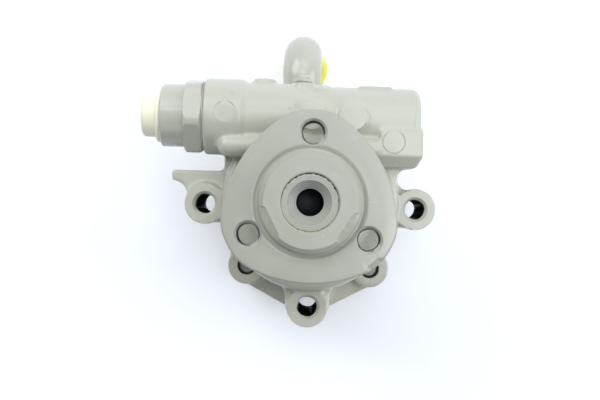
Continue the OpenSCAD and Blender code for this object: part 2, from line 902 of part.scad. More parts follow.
// Shaft seal: a pressed case with a sprung lip that rides on the shaft
module shaft_seal() {
  case_front = nose_rise - nose_chamfer;
  lip_r = shaft_r + run_gap;
  color(black_rubber)
    rotate_extrude()
      polygon([
        [seal_r, seal_floor + seat_gap], [seal_r, case_front], [lip_r + lip_t / 2, case_front],
        [lip_r + lip_t / 2, case_front - lip_t], [lip_r + 2 * lip_t, case_front - lip_t],
        [lip_r + lip_t, seal_floor + 2 * lip_t], [lip_r, seal_floor + lip_t],
        [lip_r + lip_t / 2, seal_floor + lip_t / 2], [lip_r + 3 * lip_t / 2, seal_floor + 2 * lip_t],
        [seal_r - lip_t / 2, case_front - lip_t], [seal_r - lip_t / 2, seal_floor + seat_gap]
      ]);
}

// Port plate: pressure windows through it, suction recesses on its back
module sector(r0, r1, from, angle, z0, z1) {
  rotate([0, 0, from])
    rotate_extrude(angle = angle)
      translate([r0, z0])
        square([r1 - r0, z1 - z0]);
}

module front_port_plate() {
  window_r = cam_minor_r + cam_lift - kidney_w;
  color(bare_steel)
    difference() {
      post(cavity_r - seat_gap, port_back, port_front);
      post(shaft_r + bolt_hole_gap, port_back - cut_over, port_front + cut_over);
      tube(cavity_r + cut_over, cavity_r - ring_groove_d - seat_gap,
        port_front - ring_groove_w - cut_over, port_front - cut_over);
      for (turn = [0, 180]) {
        sector(window_r, window_r + kidney_w, turn + pressure_from, kidney_angle,
          port_back - cut_over, port_front + cut_over);
        sector(window_r, cam_r, turn + suction_from, kidney_angle, port_back - cut_over, port_back + lip_t);
      }
      at_each([[dowel_reach, 0], [-dowel_reach, 0]])
        post(dowel_r + seat_gap, port_back - cut_over, port_front + cut_over);
    }
}

module port_plate_o_ring() {
  color(black_rubber)
    translate([0, 0, port_front - cut_over - ring_groove_w / 2])
      o_ring(cavity_r - seat_gap - ring_wire_r, ring_wire_r);
}

module cam_ring() {
  color(bare_steel)
    difference() {
      post(cam_r, cam_back, cam_front);
      slab(cam_back - cut_over, cam_front + cut_over)
        polygon([for (i = [0:cam_points - 1]) cam_track(360 * i / cam_points) * way(360 * i / cam_points)]);
      at_each([[dowel_reach, 0], [-dowel_reach, 0]])
        post(dowel_r + seat_gap, cam_back - cut_over, cam_front + cut_over);
    }
}

// Spline: trapezoid teeth, wider at the root than at the tip
function spline_outline(grow) = [
  for (i = [0:spline_teeth - 1])
    let (a = 360 * i / spline_teeth, p = 360 / spline_teeth)
      each [
        (spline_root_r + grow) * way(a - spline_root_share * p),
        (spline_tip_r + grow) * way(a - spline_tip_share * p),
        (spline_tip_r + grow) * way(a + spline_tip_share * p),
        (spline_root_r + grow) * way(a + spline_root_share * p)
      ]
];

module drive_shaft() {
  color(bare_steel)
    difference() {
      union() {
        post(shaft_r, rotor_front + side_gap, shaft_front - shaft_chamfer);
        cone(shaft_r, shaft_front - shaft_chamfer, shaft_r - shaft_chamfer, shaft_front);
        slab(rotor_back, rotor_front + 2 * side_gap)
          polygon(spline_outline(0));
        post(tail_r, tail_back + shaft_chamfer, rotor_back + side_gap);
        cone(tail_r - shaft_chamfer, tail_back, tail_r, tail_back + shaft_chamfer);
      }
      post(centre_r, shaft_front - centre_depth, shaft_front + cut_over);
      cone(centre_r, shaft_front - (countersink_r - centre_r),
        countersink_r + cut_over, shaft_front + cut_over);
      tube(tail_r + cut_over, tail_r - clip_groove, clip_front - clip_t - seat_gap, clip_front + seat_gap);
    }
}

module rotor() {
  color(bare_steel)
    difference() {
      post(rotor_r, rotor_back, rotor_front);
      slab(rotor_back - cut_over, rotor_front + cut_over)
        polygon(spline_outline(seat_gap));
      for (i = [0:vane_count - 1])
        rotate([0, 0, vane_angle(i)]) {
          translate([slot_floor, -slot_w / 2, rotor_back - cut_over])
            cube([rotor_r, slot_w, rotor_front - rotor_back + 2 * cut_over]);
          translate([slot_floor + slot_root_r, 0, 0])
            post(slot_root_r, rotor_back - cut_over, rotor_front + cut_over);
        }
    }
}

module rotor_circlip() {
  color(bare_steel)
    difference() {
      tube(clip_r, tail_r - clip_groove + seat_gap, clip_front - clip_t, clip_front);
      sector(tail_r - 2 * clip_groove, clip_r + cut_over, 270 - clip_gap_angle / 2, clip_gap_angle,
        clip_front - clip_t - cut_over, clip_front + cut_over);
    }
}

// Vanes: flat blades with a rounded tip, drawn in until they clear the cam ring all round
function vane_angle(i) = 360 / vane_count * (i + 0.5);
module vane(i) {
  tip_axis = vane_tip_rest - vane_t / 2;
  color(bare_steel)
    rotate([0, 0, vane_angle(i)]) {
      translate([vane_tip_rest - vane_h, -vane_t / 2, rotor_back])
        cube([vane_h - vane_t / 2, vane_t, rotor_front - rotor_back]);
      intersection() {
        translate([tip_axis, 0, 0])
          post(vane_t / 2, rotor_back, rotor_front);
        translate([tip_axis, -vane_t, rotor_back])
          cube([vane_t, 2 * vane_t, rotor_front - rotor_back]);
      }
    }
}

module pulley_flange() {
  color(paint)
    rotate([0, 0, flange_turn])
      difference() {
        union() {
          hull() {
            slab(plate_back + plate_chamfer, plate_front - plate_chamfer)
              polygon(flange_outline(0));
            slab(plate_back, plate_front)
              polygon(flange_outline(plate_chamfer));
          }
          post(hub_r, hub_back, plate_back + cut_over);
          post(pilot_r, plate_front - cut_over, pilot_front - pilot_chamfer);
          cone(pilot_r, pilot_front - pilot_chamfer, pilot_r - pilot_chamfer, pilot_front);
        }
        post(shaft_r + seat_gap, hub_back - cut_over, pilot_front + cut_over);
        tube(groove_r, pilot_r, plate_front - groove_depth, plate_front + cut_over / 2);
        for (a = corner_angles)
          translate(pulley_pcd / 2 * way(a))
            tapped_hole(pulley_hole_r, plate_back, plate_front);
      }
}

// Outlet union: hexagon with turned corners, round collar and screwed stem
module outlet_union() {
  turned_r = union_turned_d / 2;
  color(paint)
    on_valve()
      difference() {
        union() {
          intersection() {
            rotate([0, 0, 180 / hex_sides + union_turn])
              translate([0, 0, hex_x0])
                cylinder(d = union_af / cos(180 / hex_sides), h = union_hex_len, $fn = hex_sides);
            union() {
              cone(turned_r - union_chamfer, hex_x0, turned_r, hex_x0 + union_chamfer);
              post(turned_r, hex_x0 + union_chamfer, seal_face_x);
            }
          }
          cone(union_collar_r - union_chamfer, union_x0, union_collar_r, union_x0 + union_chamfer);
          post(union_collar_r, union_x0 + union_chamfer, hex_x0 + cut_over);
          post(union_thread_r, hex_x0 + cut_over, thread_end_x);
        }
        post(outlet_r, union_x0 - cut_over, union_x0 + outlet_depth);
        cone(outlet_r + union_chamfer + cut_over, union_x0 - cut_over, outlet_r, union_x0 + union_chamfer);
        post(orifice_r, union_x0, thread_end_x + cut_over);
      }
}

module union_seal() {
  color(paint)
    on_valve()
      tube(union_af / 2 - seat_gap, union_thread_r + seat_gap, seal_face_x + seat_gap, collar_x - seat_gap);
}

module outlet_plug() {
  flange_x = union_x0 - seat_gap;
  head_x = flange_x - plug_flange_t - plug_head_len;
  stem_r = outlet_r - 2 * seat_gap;
  color(cream_plastic)
    on_valve()
      difference() {
        union() {
          post(stem_r, flange_x - cut_over, flange_x + plug_stem_len);
          post(plug_flange_r, flange_x - plug_flange_t, flange_x);
          post(plug_head_r, head_x + union_chamfer, flange_x - plug_flange_t + cut_over / 2);
          cone(plug_head_r - union_chamfer, head_x, plug_head_r, head_x + union_chamfer);
        }
        post(stem_r - plug_hollow_wall, flange_x + union_chamfer, flange_x + plug_stem_len + cut_over);
      }
}

// Flow spool: nose, two lands and the relief chamber bored from its spring end
module flow_spool() {
  color(bare_steel)
    on_valve()
      difference() {
        union() {
          post(spool_nose_r, spool_x0, land_a_x0 + cut_over);
          post(land_r, land_a_x0, land_a_x1);
          post(spool_groove_r, land_a_x1 - cut_over, land_b_x0 + cut_over);
          post(land_r, land_b_x0, land_b_x1);
        }
        post(relief_bore_r, relief_x0, land_b_x1 + cut_over);
        translate([0, 0, (land_a_x1 + land_b_x0) / 2])
          rotate([90, 0, 0])
            post(vent_r, -land_r, land_r);
      }
}

module flow_spring() {
  start_x = land_b_x1 + seat_gap;
  color(bare_steel)
    on_valve()
      translate([0, 0, start_x])
        coil(flow_spring_r, flow_wire_r, valve_bore_end_x - seat_gap - start_x, flow_turns);
}

module relief_seat() {
  color(bare_steel)
    on_valve()
      tube(relief_bore_r - seat_gap, seat_hole_r, seat_x0, land_b_x1);
}

module relief_ball() {
  color(bare_steel)
    on_valve()
      translate([0, 0, ball_x])
        sphere(ball_r);
}

module relief_spring() {
  start_x = relief_x0 + seat_gap;
  color(bare_steel)
    on_valve()
      translate([0, 0, start_x])
        coil(relief_spring_r, relief_wire_r, relief_spring_len(), relief_turns);
}
// The spring's end ring rests on the ball's back
function relief_spring_len() =
  ball_x - sqrt(pow(ball_r + relief_wire_r + seat_gap, 2) - pow(relief_spring_r, 2)) + relief_wire_r
  - relief_x0 - seat_gap;

// Pipe: a foot in the socket, a bend to the rear and a short tail
module on_bend_end() {
  on_pipe()
    rotate([0, 0, 90 - bend_yaw])
      translate([bend_r, 0, bend_start_y])
        rotate([0, bend_angle, 0])
          translate([-bend_r, 0, 0])
            children();
}

module bend_solid(r) {
  on_pipe()
    rotate([0, 0, 90 - bend_yaw])
      translate([bend_r, 0, bend_start_y])
        rotate([90, 0, 180])
          rotate_extrude(angle = bend_angle)
            translate([bend_r, 0])
              circle(r + bend_step);
}

// The straight runs end just inside the slightly wider bend
module pipe_solid(r, over) {
  on_pipe()
    post(r, socket_y + seat_gap - over, bend_start_y + bend_lap);
  bend_solid(r);
  on_bend_end()
    post(r, -bend_lap, pipe_tail + over);
}

module suction_pipe() {
  color(paint)
    difference() {
      pipe_solid(pipe_r, 0);
      pipe_solid(pipe_bore_r, cut_over);
    }
}

module pipe_o_ring() {
  color(black_rubber)
    on_pipe()
      translate([0, 0, suction_top - pipe_ring_w / 2])
        o_ring(pipe_ring_r, pipe_ring_wire);
}

module pipe_bracket() {
  color(paint)
    on_pipe()
      difference() {
        union() {
          post(suction_boss_r - nest, suction_top + seat_gap, suction_top + bracket_t);
          slab(suction_top + seat_gap, suction_top + bracket_t)
            bar(tab_root, tab_r, tab_place, tab_r);
        }
        post(pipe_r + seat_gap, suction_top - cut_over, suction_top + bracket_t + cut_over);
        translate(tab_place)
          post(screw_r + seat_gap, suction_top - cut_over, suction_top + bracket_t + cut_over);
      }
}

module bracket_screw() {
  head_y = suction_top + bracket_t + seat_gap;
  color(paint)
    on_pipe()
      translate(tab_place) {
        post(screw_r, head_y - screw_len, head_y + screw_head_h / 2);
        cone(screw_head_r, head_y, screw_head_r - nest, head_y + screw_head_h);
      }
}

module suction_cap() {
  stem_r = pipe_bore_r - 2 * seat_gap;
  color(yellow_plastic)
    on_bend_end()
      difference() {
        union() {
          post(stem_r, pipe_tail - cap_stem_len, pipe_tail + cut_over);
          post(cap_flange_r, pipe_tail + seat_gap, pipe_tail + cap_flange_t);
          post(stem_r, pipe_tail + cap_flange_t - cut_over / 2, pipe_tail + cap_flange_t + cap_grip_len);
        }
        post(stem_r - plug_hollow_wall, pipe_tail - cap_stem_len - cut_over, pipe_tail);
      }
}

housing();
rear_cover();
cover_bolts();
cover_o_ring();
dowel_pins();
front_bush();
rear_bush();
shaft_seal();
front_port_plate();
port_plate_o_ring();
cam_ring();
drive_shaft();
rotor();
rotor_circlip();
for (i = [0:vane_count - 1])
  vane(i);
pulley_flange();
outlet_union();
union_seal();
outlet_plug();
flow_spool();
flow_spring();
relief_seat();
relief_ball();
relief_spring();
suction_pipe();
pipe_o_ring();
pipe_bracket();
bracket_screw();
suction_cap();
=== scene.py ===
import math

import bmesh
import bpy
import numpy as np
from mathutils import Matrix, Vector


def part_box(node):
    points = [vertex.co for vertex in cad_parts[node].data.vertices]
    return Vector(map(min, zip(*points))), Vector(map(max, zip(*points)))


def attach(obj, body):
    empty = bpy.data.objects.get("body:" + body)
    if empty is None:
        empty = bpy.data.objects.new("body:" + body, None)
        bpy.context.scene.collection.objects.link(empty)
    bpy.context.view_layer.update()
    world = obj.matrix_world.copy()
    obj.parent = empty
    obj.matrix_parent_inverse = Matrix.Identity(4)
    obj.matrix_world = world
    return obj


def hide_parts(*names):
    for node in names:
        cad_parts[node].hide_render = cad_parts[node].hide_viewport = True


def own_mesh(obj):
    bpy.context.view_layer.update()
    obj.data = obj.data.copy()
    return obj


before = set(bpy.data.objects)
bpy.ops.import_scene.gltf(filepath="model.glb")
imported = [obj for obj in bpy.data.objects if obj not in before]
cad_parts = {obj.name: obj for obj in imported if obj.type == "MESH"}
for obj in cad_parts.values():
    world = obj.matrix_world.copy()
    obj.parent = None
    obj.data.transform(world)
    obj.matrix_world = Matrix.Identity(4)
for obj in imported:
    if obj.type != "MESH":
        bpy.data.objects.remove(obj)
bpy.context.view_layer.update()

# Sizes in millimetres, as in the part's source but for the flange's outline and groove, the pads and the threads
MM = 0.001
TURN = 2 * math.pi
JOINT_Z, COVER_BACK, REST_Z = -35.0, -44.0, -50.0
EAR_R, EAR_HOLE_R, EAR_CHAMFER = 6.6, 3.1, 0.4
EARS = [(-33.5, -1.3), (33.5, -1.3), (0.0, -33.4)]
LOBE_REACH, LOBE_ANGLE, LOBE_FRONT = 30.3, 46.5, -22.0
LOBES = [(LOBE_REACH * math.cos(math.radians(a)), LOBE_REACH * math.sin(math.radians(a)))
         for a in (LOBE_ANGLE, 180 - LOBE_ANGLE, 180 + LOBE_ANGLE, 360 - LOBE_ANGLE)]
BOLT_R, BOLT_AF, BOLT_FLANGE_R, BOLT_FLANGE_T, BOLT_END = 3.0, 10.0, 6.2, 1.4, -25.0
SEAT_GAP = 0.02
NOSE_R, NOSE_RISE, SEAL_FLOOR, SEAL_R = 18.8, 13.0, 5.0, 13.0
CAVITY_R, CAVITY_FLOOR, FRONT_BUSH_R = 24.0, -13.0, 10.03
SPIGOT_FACE, CLIP_RECESS_R, REAR_BUSH_R = -32.06, 9.9, 8.03
REAR_BUSH_FRONT, REAR_BUSH_BACK = -34.66, -42.66
DOWEL_R, DOWEL_REACH, DOWEL_DEPTH = 1.75, 18.9, 3.0
COVER_RING_R, COVER_RING_HALF, COVER_RING_DEPTH = 26.1, 0.95, 1.54
VALVE_Y, COLLAR_X, COLLAR_R = 26.4, -34.1, 12.1
VALVE_MOUTH_X, VALVE_BORE_R, VALVE_BORE_END_X, UNION_THREAD_R = -22.1, 7.0, 29.0, 9.0
PAD_R, PAD_TOP, MARK_R = 4.45, 11.7, 3.45
FRONT_PADS = [(-0.2, 26.9), (12.4, 26.9)]
COLLAR_MARK, BLOCK_MARK, BLOCK_Z = (-27.0, 26.9), (25.3, 19.3), 11.2
HUB_BACK, HUB_R, PLATE_BACK, PLATE_FRONT = 14.5, 13.0, 19.5, 25.0
END_R, SIDE_R, SIDE_OFFSET, FLANGE_TURN = 27.5, 40.1, 16.0, math.radians(-1.1)
PILOT_R, PILOT_FRONT, PILOT_CHAMFER, GROOVE_R, GROOVE_DEPTH = 15.0, 29.0, 1.3, 17.0, 0.6
PULLEY_REACH, PULLEY_HOLE_R, PULLEY_CHAMFER = 20.6, 3.05, 0.7
SHAFT_R, SHAFT_FRONT, CENTRE_R, CENTRE_DEPTH, COUNTERSINK_R = 8.5, 28.6, 4.05, 24.0, 6.5
ROTOR_FRONT, ROTOR_BACK, TAIL_R, TAIL_BACK = -18.05, -32.03, 6.9, -41.86
SPLINE_ROOT_R, SPLINE_TIP_R, SPLINE_TEETH = 7.0, 7.8, 16
SEAL_FACE_X, HEX_X0, UNION_X0, THREAD_END_X, WASHER_R = -34.6, -40.1, -47.7, -23.1, 10.98
UNION_AF, UNION_TURNED_R, UNION_TURN, UNION_COLLAR_R = 22.0, 12.1, math.radians(41.5), 9.9
OUTLET_R, OUTLET_DEPTH, ORIFICE_R = 7.2, 14.0, 2.0
PLUG_FLANGE_R, PLUG_FLANGE_T, PLUG_HEAD_R, PLUG_HEAD_LEN = 8.6, 1.4, 7.0, 4.7
PIPE_X, PIPE_Z, PIPE_R, PIPE_BORE_R, SOCKET_Y = -3.9, -21.0, 6.4, 5.2, 27.7
SUCTION_TOP, BOSS_R, BEND_START_Y, BEND_R = 37.7, 10.0, 42.0, 9.0
BEND_ANGLE, BEND_YAW, BEND_STEP, PIPE_TAIL = math.radians(104), math.radians(2), 0.12, 11.0
PIPE_RING_CUT_R, PIPE_RING_DEPTH = 8.18, 1.9
BRACKET_T, TAB_REACH, TAB_SHIFT, TAB_R = 1.3, 24.0, 0.9, 2.8
SCREW_R, SCREW_HEAD_R, SCREW_HEAD_H, SCREW_LEN, SCREW_HOLE_DEPTH = 1.8, 2.4, 1.0, 3.6, 2.7
CAP_FLANGE_R, CAP_FLANGE_T, CAP_STEM_LEN, CAP_GRIP = 8.1, 1.6, 8.0, 3.0

scene = bpy.context.scene
scene.view_settings.view_transform = "Standard"

# Camera: straight down the shaft, turned a little about it; the shifts are in pixels
CAMERA_Z, LENS, SENSOR, CAMERA_ROLL = 0.325, 61.2, 36, math.radians(1.7)
FRAME_WIDTH, SHIFT_RIGHT, SHIFT_UP = 600, -10, 2.4
camera_data = bpy.data.cameras.new("camera")
camera_data.lens, camera_data.sensor_width = LENS, SENSOR
camera_data.shift_x, camera_data.shift_y = SHIFT_RIGHT / FRAME_WIDTH, SHIFT_UP / FRAME_WIDTH
camera = bpy.data.objects.new("camera", camera_data)
camera.location, camera.rotation_euler = (0, 0, CAMERA_Z), (0, 0, CAMERA_ROLL)
scene.collection.objects.link(camera)
scene.camera = camera


def linear(code):
    """A hex sRGB colour as linear light, with alpha 1."""
    s = np.array([int(code[i:i + 2], 16) for i in (1, 3, 5)]) / 255
    return (*np.where(s <= 0.04045, s / 12.92, ((s + 0.055) / 1.055) ** 2.4), 1.0)


def add(finish, kind, values=None, **settings):
    """Adds one node to a material: its settings, and its sockets as numbers, colours or other nodes' sockets."""
    tree = finish.node_tree
    node = tree.nodes.new("ShaderNode" + kind)
    for key, value in settings.items():
        setattr(node, key, value)
    for key, value in (values or {}).items():
        if isinstance(value, bpy.types.NodeSocket):
            tree.links.new(value, node.inputs[key])
        else:
            node.inputs[key].default_value = value
    return node


def new_finish(name):
    """Material with an empty node tree."""
    finish = bpy.data.materials.new(name)
    finish.use_nodes = True
    finish.node_tree.nodes.clear()
    return finish


def wave_scale(pitch):
    """Scale of a wave texture whose rings are that many millimetres apart."""
    return math.pi / 10 / (pitch * MM)


def per_mm(size):
    """Texture scale, in periods per metre, of a pattern of that size in millimetres."""
    return 1 / (size * MM)


# Shapes: lines, turned surfaces and nets of points
def eased(corners, steps=6):
    """Line through corners (r, z, rounding): each corner gives way to an arc that touches both of its sides."""
    line = np.array(corners, float)
    out = [line[:1, :2]]
    for before, here, after in zip(line[:-2], line[1:-1], line[2:]):
        p, e = here[:2], here[2]
        a, b = before[:2] - p, after[:2] - p
        la, lb = np.linalg.norm(a), np.linalg.norm(b)
        a, b = a / la, b / lb
        half = math.acos(np.clip(a @ b, -1, 1)) / 2
        if e <= 0 or half > math.pi / 2 - 0.01:
            out.append(p[None])
            continue
        t = min(e / math.tan(half), 0.49 * la, 0.49 * lb)
        centre = p + (a + b) / np.linalg.norm(a + b) * t / math.cos(half)
        k, swing = np.linspace(0, 1, steps)[:, None], math.pi - 2 * half
        out.append(centre + (np.sin((1 - k) * swing) * (p + a * t - centre)
                             + np.sin(k * swing) * (p + b * t - centre)) / math.sin(swing))
    return np.concatenate(out + [line[-1:, :2]])


def dense(line, step):
    """The same line with points added so that none are further apart than step along it."""
    s = np.concatenate([[0], np.cumsum(np.linalg.norm(np.diff(line, axis=0), axis=1))])
    every = np.union1d(s, np.arange(0, s[-1], step))
    return np.stack([np.interp(every, s, line[:, k]) for k in range(line.shape[1])], 1)


def turned(line, steps=128):
    """Surface of revolution: point (r, z) of the line at angle a lies at (r cos a, r sin a, z)."""
    a = np.linspace(0, TURN, steps, endpoint=False)[:, None]
    return np.stack([line[:, 0] * np.cos(a), line[:, 0] * np.sin(a), line[:, 1] + 0 * a], -1)


def lofted(a, radii, heights):
    """Polar loft: at angle a, station k of the section lies at radius radii[:, k] and height heights[k]."""
    a = np.asarray(a)[:, None]
    return np.stack([radii * np.cos(a), radii * np.sin(a), heights + 0 * radii], -1)


def along_valve(net):
    """Lays a shape made along Z on the valve bore: (x, y, z) goes to (z, y, -x)."""
    return np.stack([net[..., 2], net[..., 1] + VALVE_Y, -net[..., 0]], -1)


def along_pipe(net):
    """Stands a shape made along Z on the pipe's foot: (x, y, z) goes to (x, z, -y)."""
    return np.stack([net[..., 0] + PIPE_X, net[..., 2], PIPE_Z - net[..., 1]], -1)


def moved(net, x, y, z=0.0):
    """The same net, shifted by (x, y, z)."""
    return net + np.array([x, y, z])


def skin(name, *nets, loop=False):
    """One closed mesh from nets of points (angle, station): quads between neighbours, closed round the angle
    and, where loop is true, round the section too. Doubles at poles are merged and normals turned outward."""
    points, faces, first = [], [], 0
    for net in nets:
        nu, nv = net.shape[:2]
        i, j = np.meshgrid(np.arange(nu), np.arange(nv if loop else nv - 1), indexing="ij")
        i2, j2 = (i + 1) % nu, (j + 1) % nv
        faces.append(first + np.stack([i * nv + j, i2 * nv + j, i2 * nv + j2, i * nv + j2], -1).reshape(-1, 4))
        points.append(net.reshape(-1, 3))
        first += nu * nv
    mesh = bpy.data.meshes.new(name)
    mesh.from_pydata((np.concatenate(points) * MM).tolist(), [], np.concatenate(faces).tolist())
    bm = bmesh.new()
    bm.from_mesh(mesh)
    bmesh.ops.remove_doubles(bm, verts=bm.verts, dist=1e-7)
    bmesh.ops.recalc_face_normals(bm, faces=bm.faces)
    bm.to_mesh(mesh)
    bm.free()
    piece = bpy.data.objects.new(name, mesh)
    scene.collection.objects.link(piece)
    return piece


def finished(piece, body, slot, *nodes, angle=35):
    """Smooth shading with sharp edges past an angle, then the piece takes its nodes' place on its body."""
    piece.data.polygons.foreach_set("use_smooth", np.ones(len(piece.data.polygons), bool))
    piece.data.set_sharp_from_angle(angle=math.radians(angle))
    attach(piece, body)
    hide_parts(*nodes)
    return piece


def bare_faces(piece, chosen, slot):
    """Gives the faces whose middles are chosen, from their places in mm, the material in that slot."""
    middle, kept = np.empty(len(piece.data.polygons) * 3, np.float32), np.empty(len(piece.data.polygons), np.int32)
    piece.data.polygons.foreach_get("center", middle)
    piece.data.polygons.foreach_get("material_index", kept)
    kept[chosen(*(middle.reshape(-1, 3).T / MM))] = slot
    piece.data.polygons.foreach_set("material_index", kept)


def inside_hole(hole_x, hole_y, r, top):
    """Choice of faces for bare_faces: those within r of a hole's axis and below top."""
    return lambda x, y, z: (np.hypot(x - hole_x, y - hole_y) < r) & (z < top)


def marked(piece, name, weight):
    """Keeps a weight for each point, worked out from its place in mm, as an attribute for the finish to read."""
    points = np.empty(len(piece.data.vertices) * 3, np.float32)
    piece.data.vertices.foreach_get("co", points)
    layer = piece.data.attributes.new(name, "FLOAT", "POINT")
    layer.data.foreach_set("value", weight(*(points.reshape(-1, 3).T / MM)).astype(np.float32))


def dressed(piece, *finishes):
    """Gives the piece its finishes, one material slot each."""
    for finish in finishes:
        piece.data.materials.append(finish)
    return piece


def rod(r, z0, z1, steps=96):
    """Plain closed cylinder, as a net."""
    return turned(np.array([[0, z0], [r, z0], [r, z1], [0, z1]]), steps)


THREAD_DEPTH = 0.5


def tapped(r, chamfer, z0, z1, pitch=1.25, steps=48):
    """Cutter for a tapped hole: a closed cylinder whose radius waves along a helix, with a chamfered mouth at z1
    that starts at the thread's root. Radius at (a, z) is r plus the depth times a triangle wave of
    z / pitch - a / turn."""
    z = np.concatenate([np.arange(z0, z1 - chamfer - 0.1, pitch / 4), [z1 - chamfer, z1, z1 + 1]])
    a = np.linspace(0, TURN, steps, endpoint=False)[:, None]
    wave = np.abs((z / pitch - a / TURN) % 1 - 0.5) * 2
    radius = np.where(z >= z1 - chamfer, r + THREAD_DEPTH + (z - z1 + chamfer), r + THREAD_DEPTH * wave)
    radius = np.concatenate([0 * a, radius, 0 * a], 1)
    return lofted(a[:, 0], radius, np.concatenate([z[:1], z, z[-1:]]))


def ring_mark(r, x, y, height, wire=0.17):
    """Cutter for the thin ring that a moulding pin leaves: a round wire carried along a circle of radius r about
    (x, y), at the height that the surface has there."""
    a = np.linspace(0, TURN, 96, endpoint=False)[:, None]
    b = np.linspace(0, TURN, 8, endpoint=False)
    reach = r + wire * np.cos(b)
    px, py = x + reach * np.cos(a), y + reach * np.sin(a)
    return np.stack([px, py, height(x + r * np.cos(a), y + r * np.sin(a)) + wire * np.sin(b)], -1)


def cut(piece, cutters, operation="DIFFERENCE"):
    """Takes each cutter out of the piece, or joins it on, one after the other, and keeps the result as its mesh."""
    for cutter in cutters:
        step = piece.modifiers.new("cut", "BOOLEAN")
        step.operation, step.object, step.solver = operation, cutter, "MANIFOLD"
    worked = bpy.data.meshes.new_from_object(piece.evaluated_get(bpy.context.evaluated_depsgraph_get()))
    piece.modifiers.clear()
    piece.data = worked
    worked.materials.clear()
    for cutter in cutters:
        bpy.data.objects.remove(cutter)


def relaxed(points, edges, weight, passes):
    """Each point moves half way to the mean of its neighbours, as far as its weight lets it, several times over."""
    a, b = edges.T
    count = np.bincount(a, minlength=len(points)) + np.bincount(b, minlength=len(points))
    for _ in range(passes):
        mean = np.stack([np.bincount(a, points[b, k], len(points)) + np.bincount(b, points[a, k], len(points))
                         for k in range(3)], 1) / count[:, None]
        points = points + 0.5 * weight[:, None] * (mean - points)
    return points


def cast_skin(name, node, fills, voxel, passes, held):
    """Cast surface: the node's own solid with its bores filled, sampled on an even net, its corners eased by
    letting each point move towards its neighbours. held gives each point's weight from its place in mm."""
    bm = bmesh.new()
    bm.from_mesh(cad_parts[node].data)
    bmesh.ops.remove_doubles(bm, verts=bm.verts, dist=1e-6)
    for fill in fills:
        bm.from_mesh(fill.data)
        bpy.data.objects.remove(fill)
    mesh = bpy.data.meshes.new(name)
    bm.to_mesh(mesh)
    bm.free()
    piece = bpy.data.objects.new(name, mesh)
    scene.collection.objects.link(piece)
    net = piece.modifiers.new("net", "REMESH")
    net.mode, net.voxel_size = "VOXEL", voxel * MM
    sampled = bpy.data.meshes.new_from_object(piece.evaluated_get(bpy.context.evaluated_depsgraph_get()))
    piece.modifiers.clear()
    piece.data = sampled
    sampled.materials.clear()
    points, edges = np.empty(len(sampled.vertices) * 3, np.float32), np.empty(len(sampled.edges) * 2, np.int32)
    sampled.vertices.foreach_get("co", points)
    sampled.edges.foreach_get("vertices", edges)
    points = points.reshape(-1, 3).astype(float)
    points = relaxed(points, edges.reshape(-1, 2), held(points / MM), passes)
    sampled.vertices.foreach_set("co", points.astype(np.float32).ravel())
    sampled.update()
    return piece


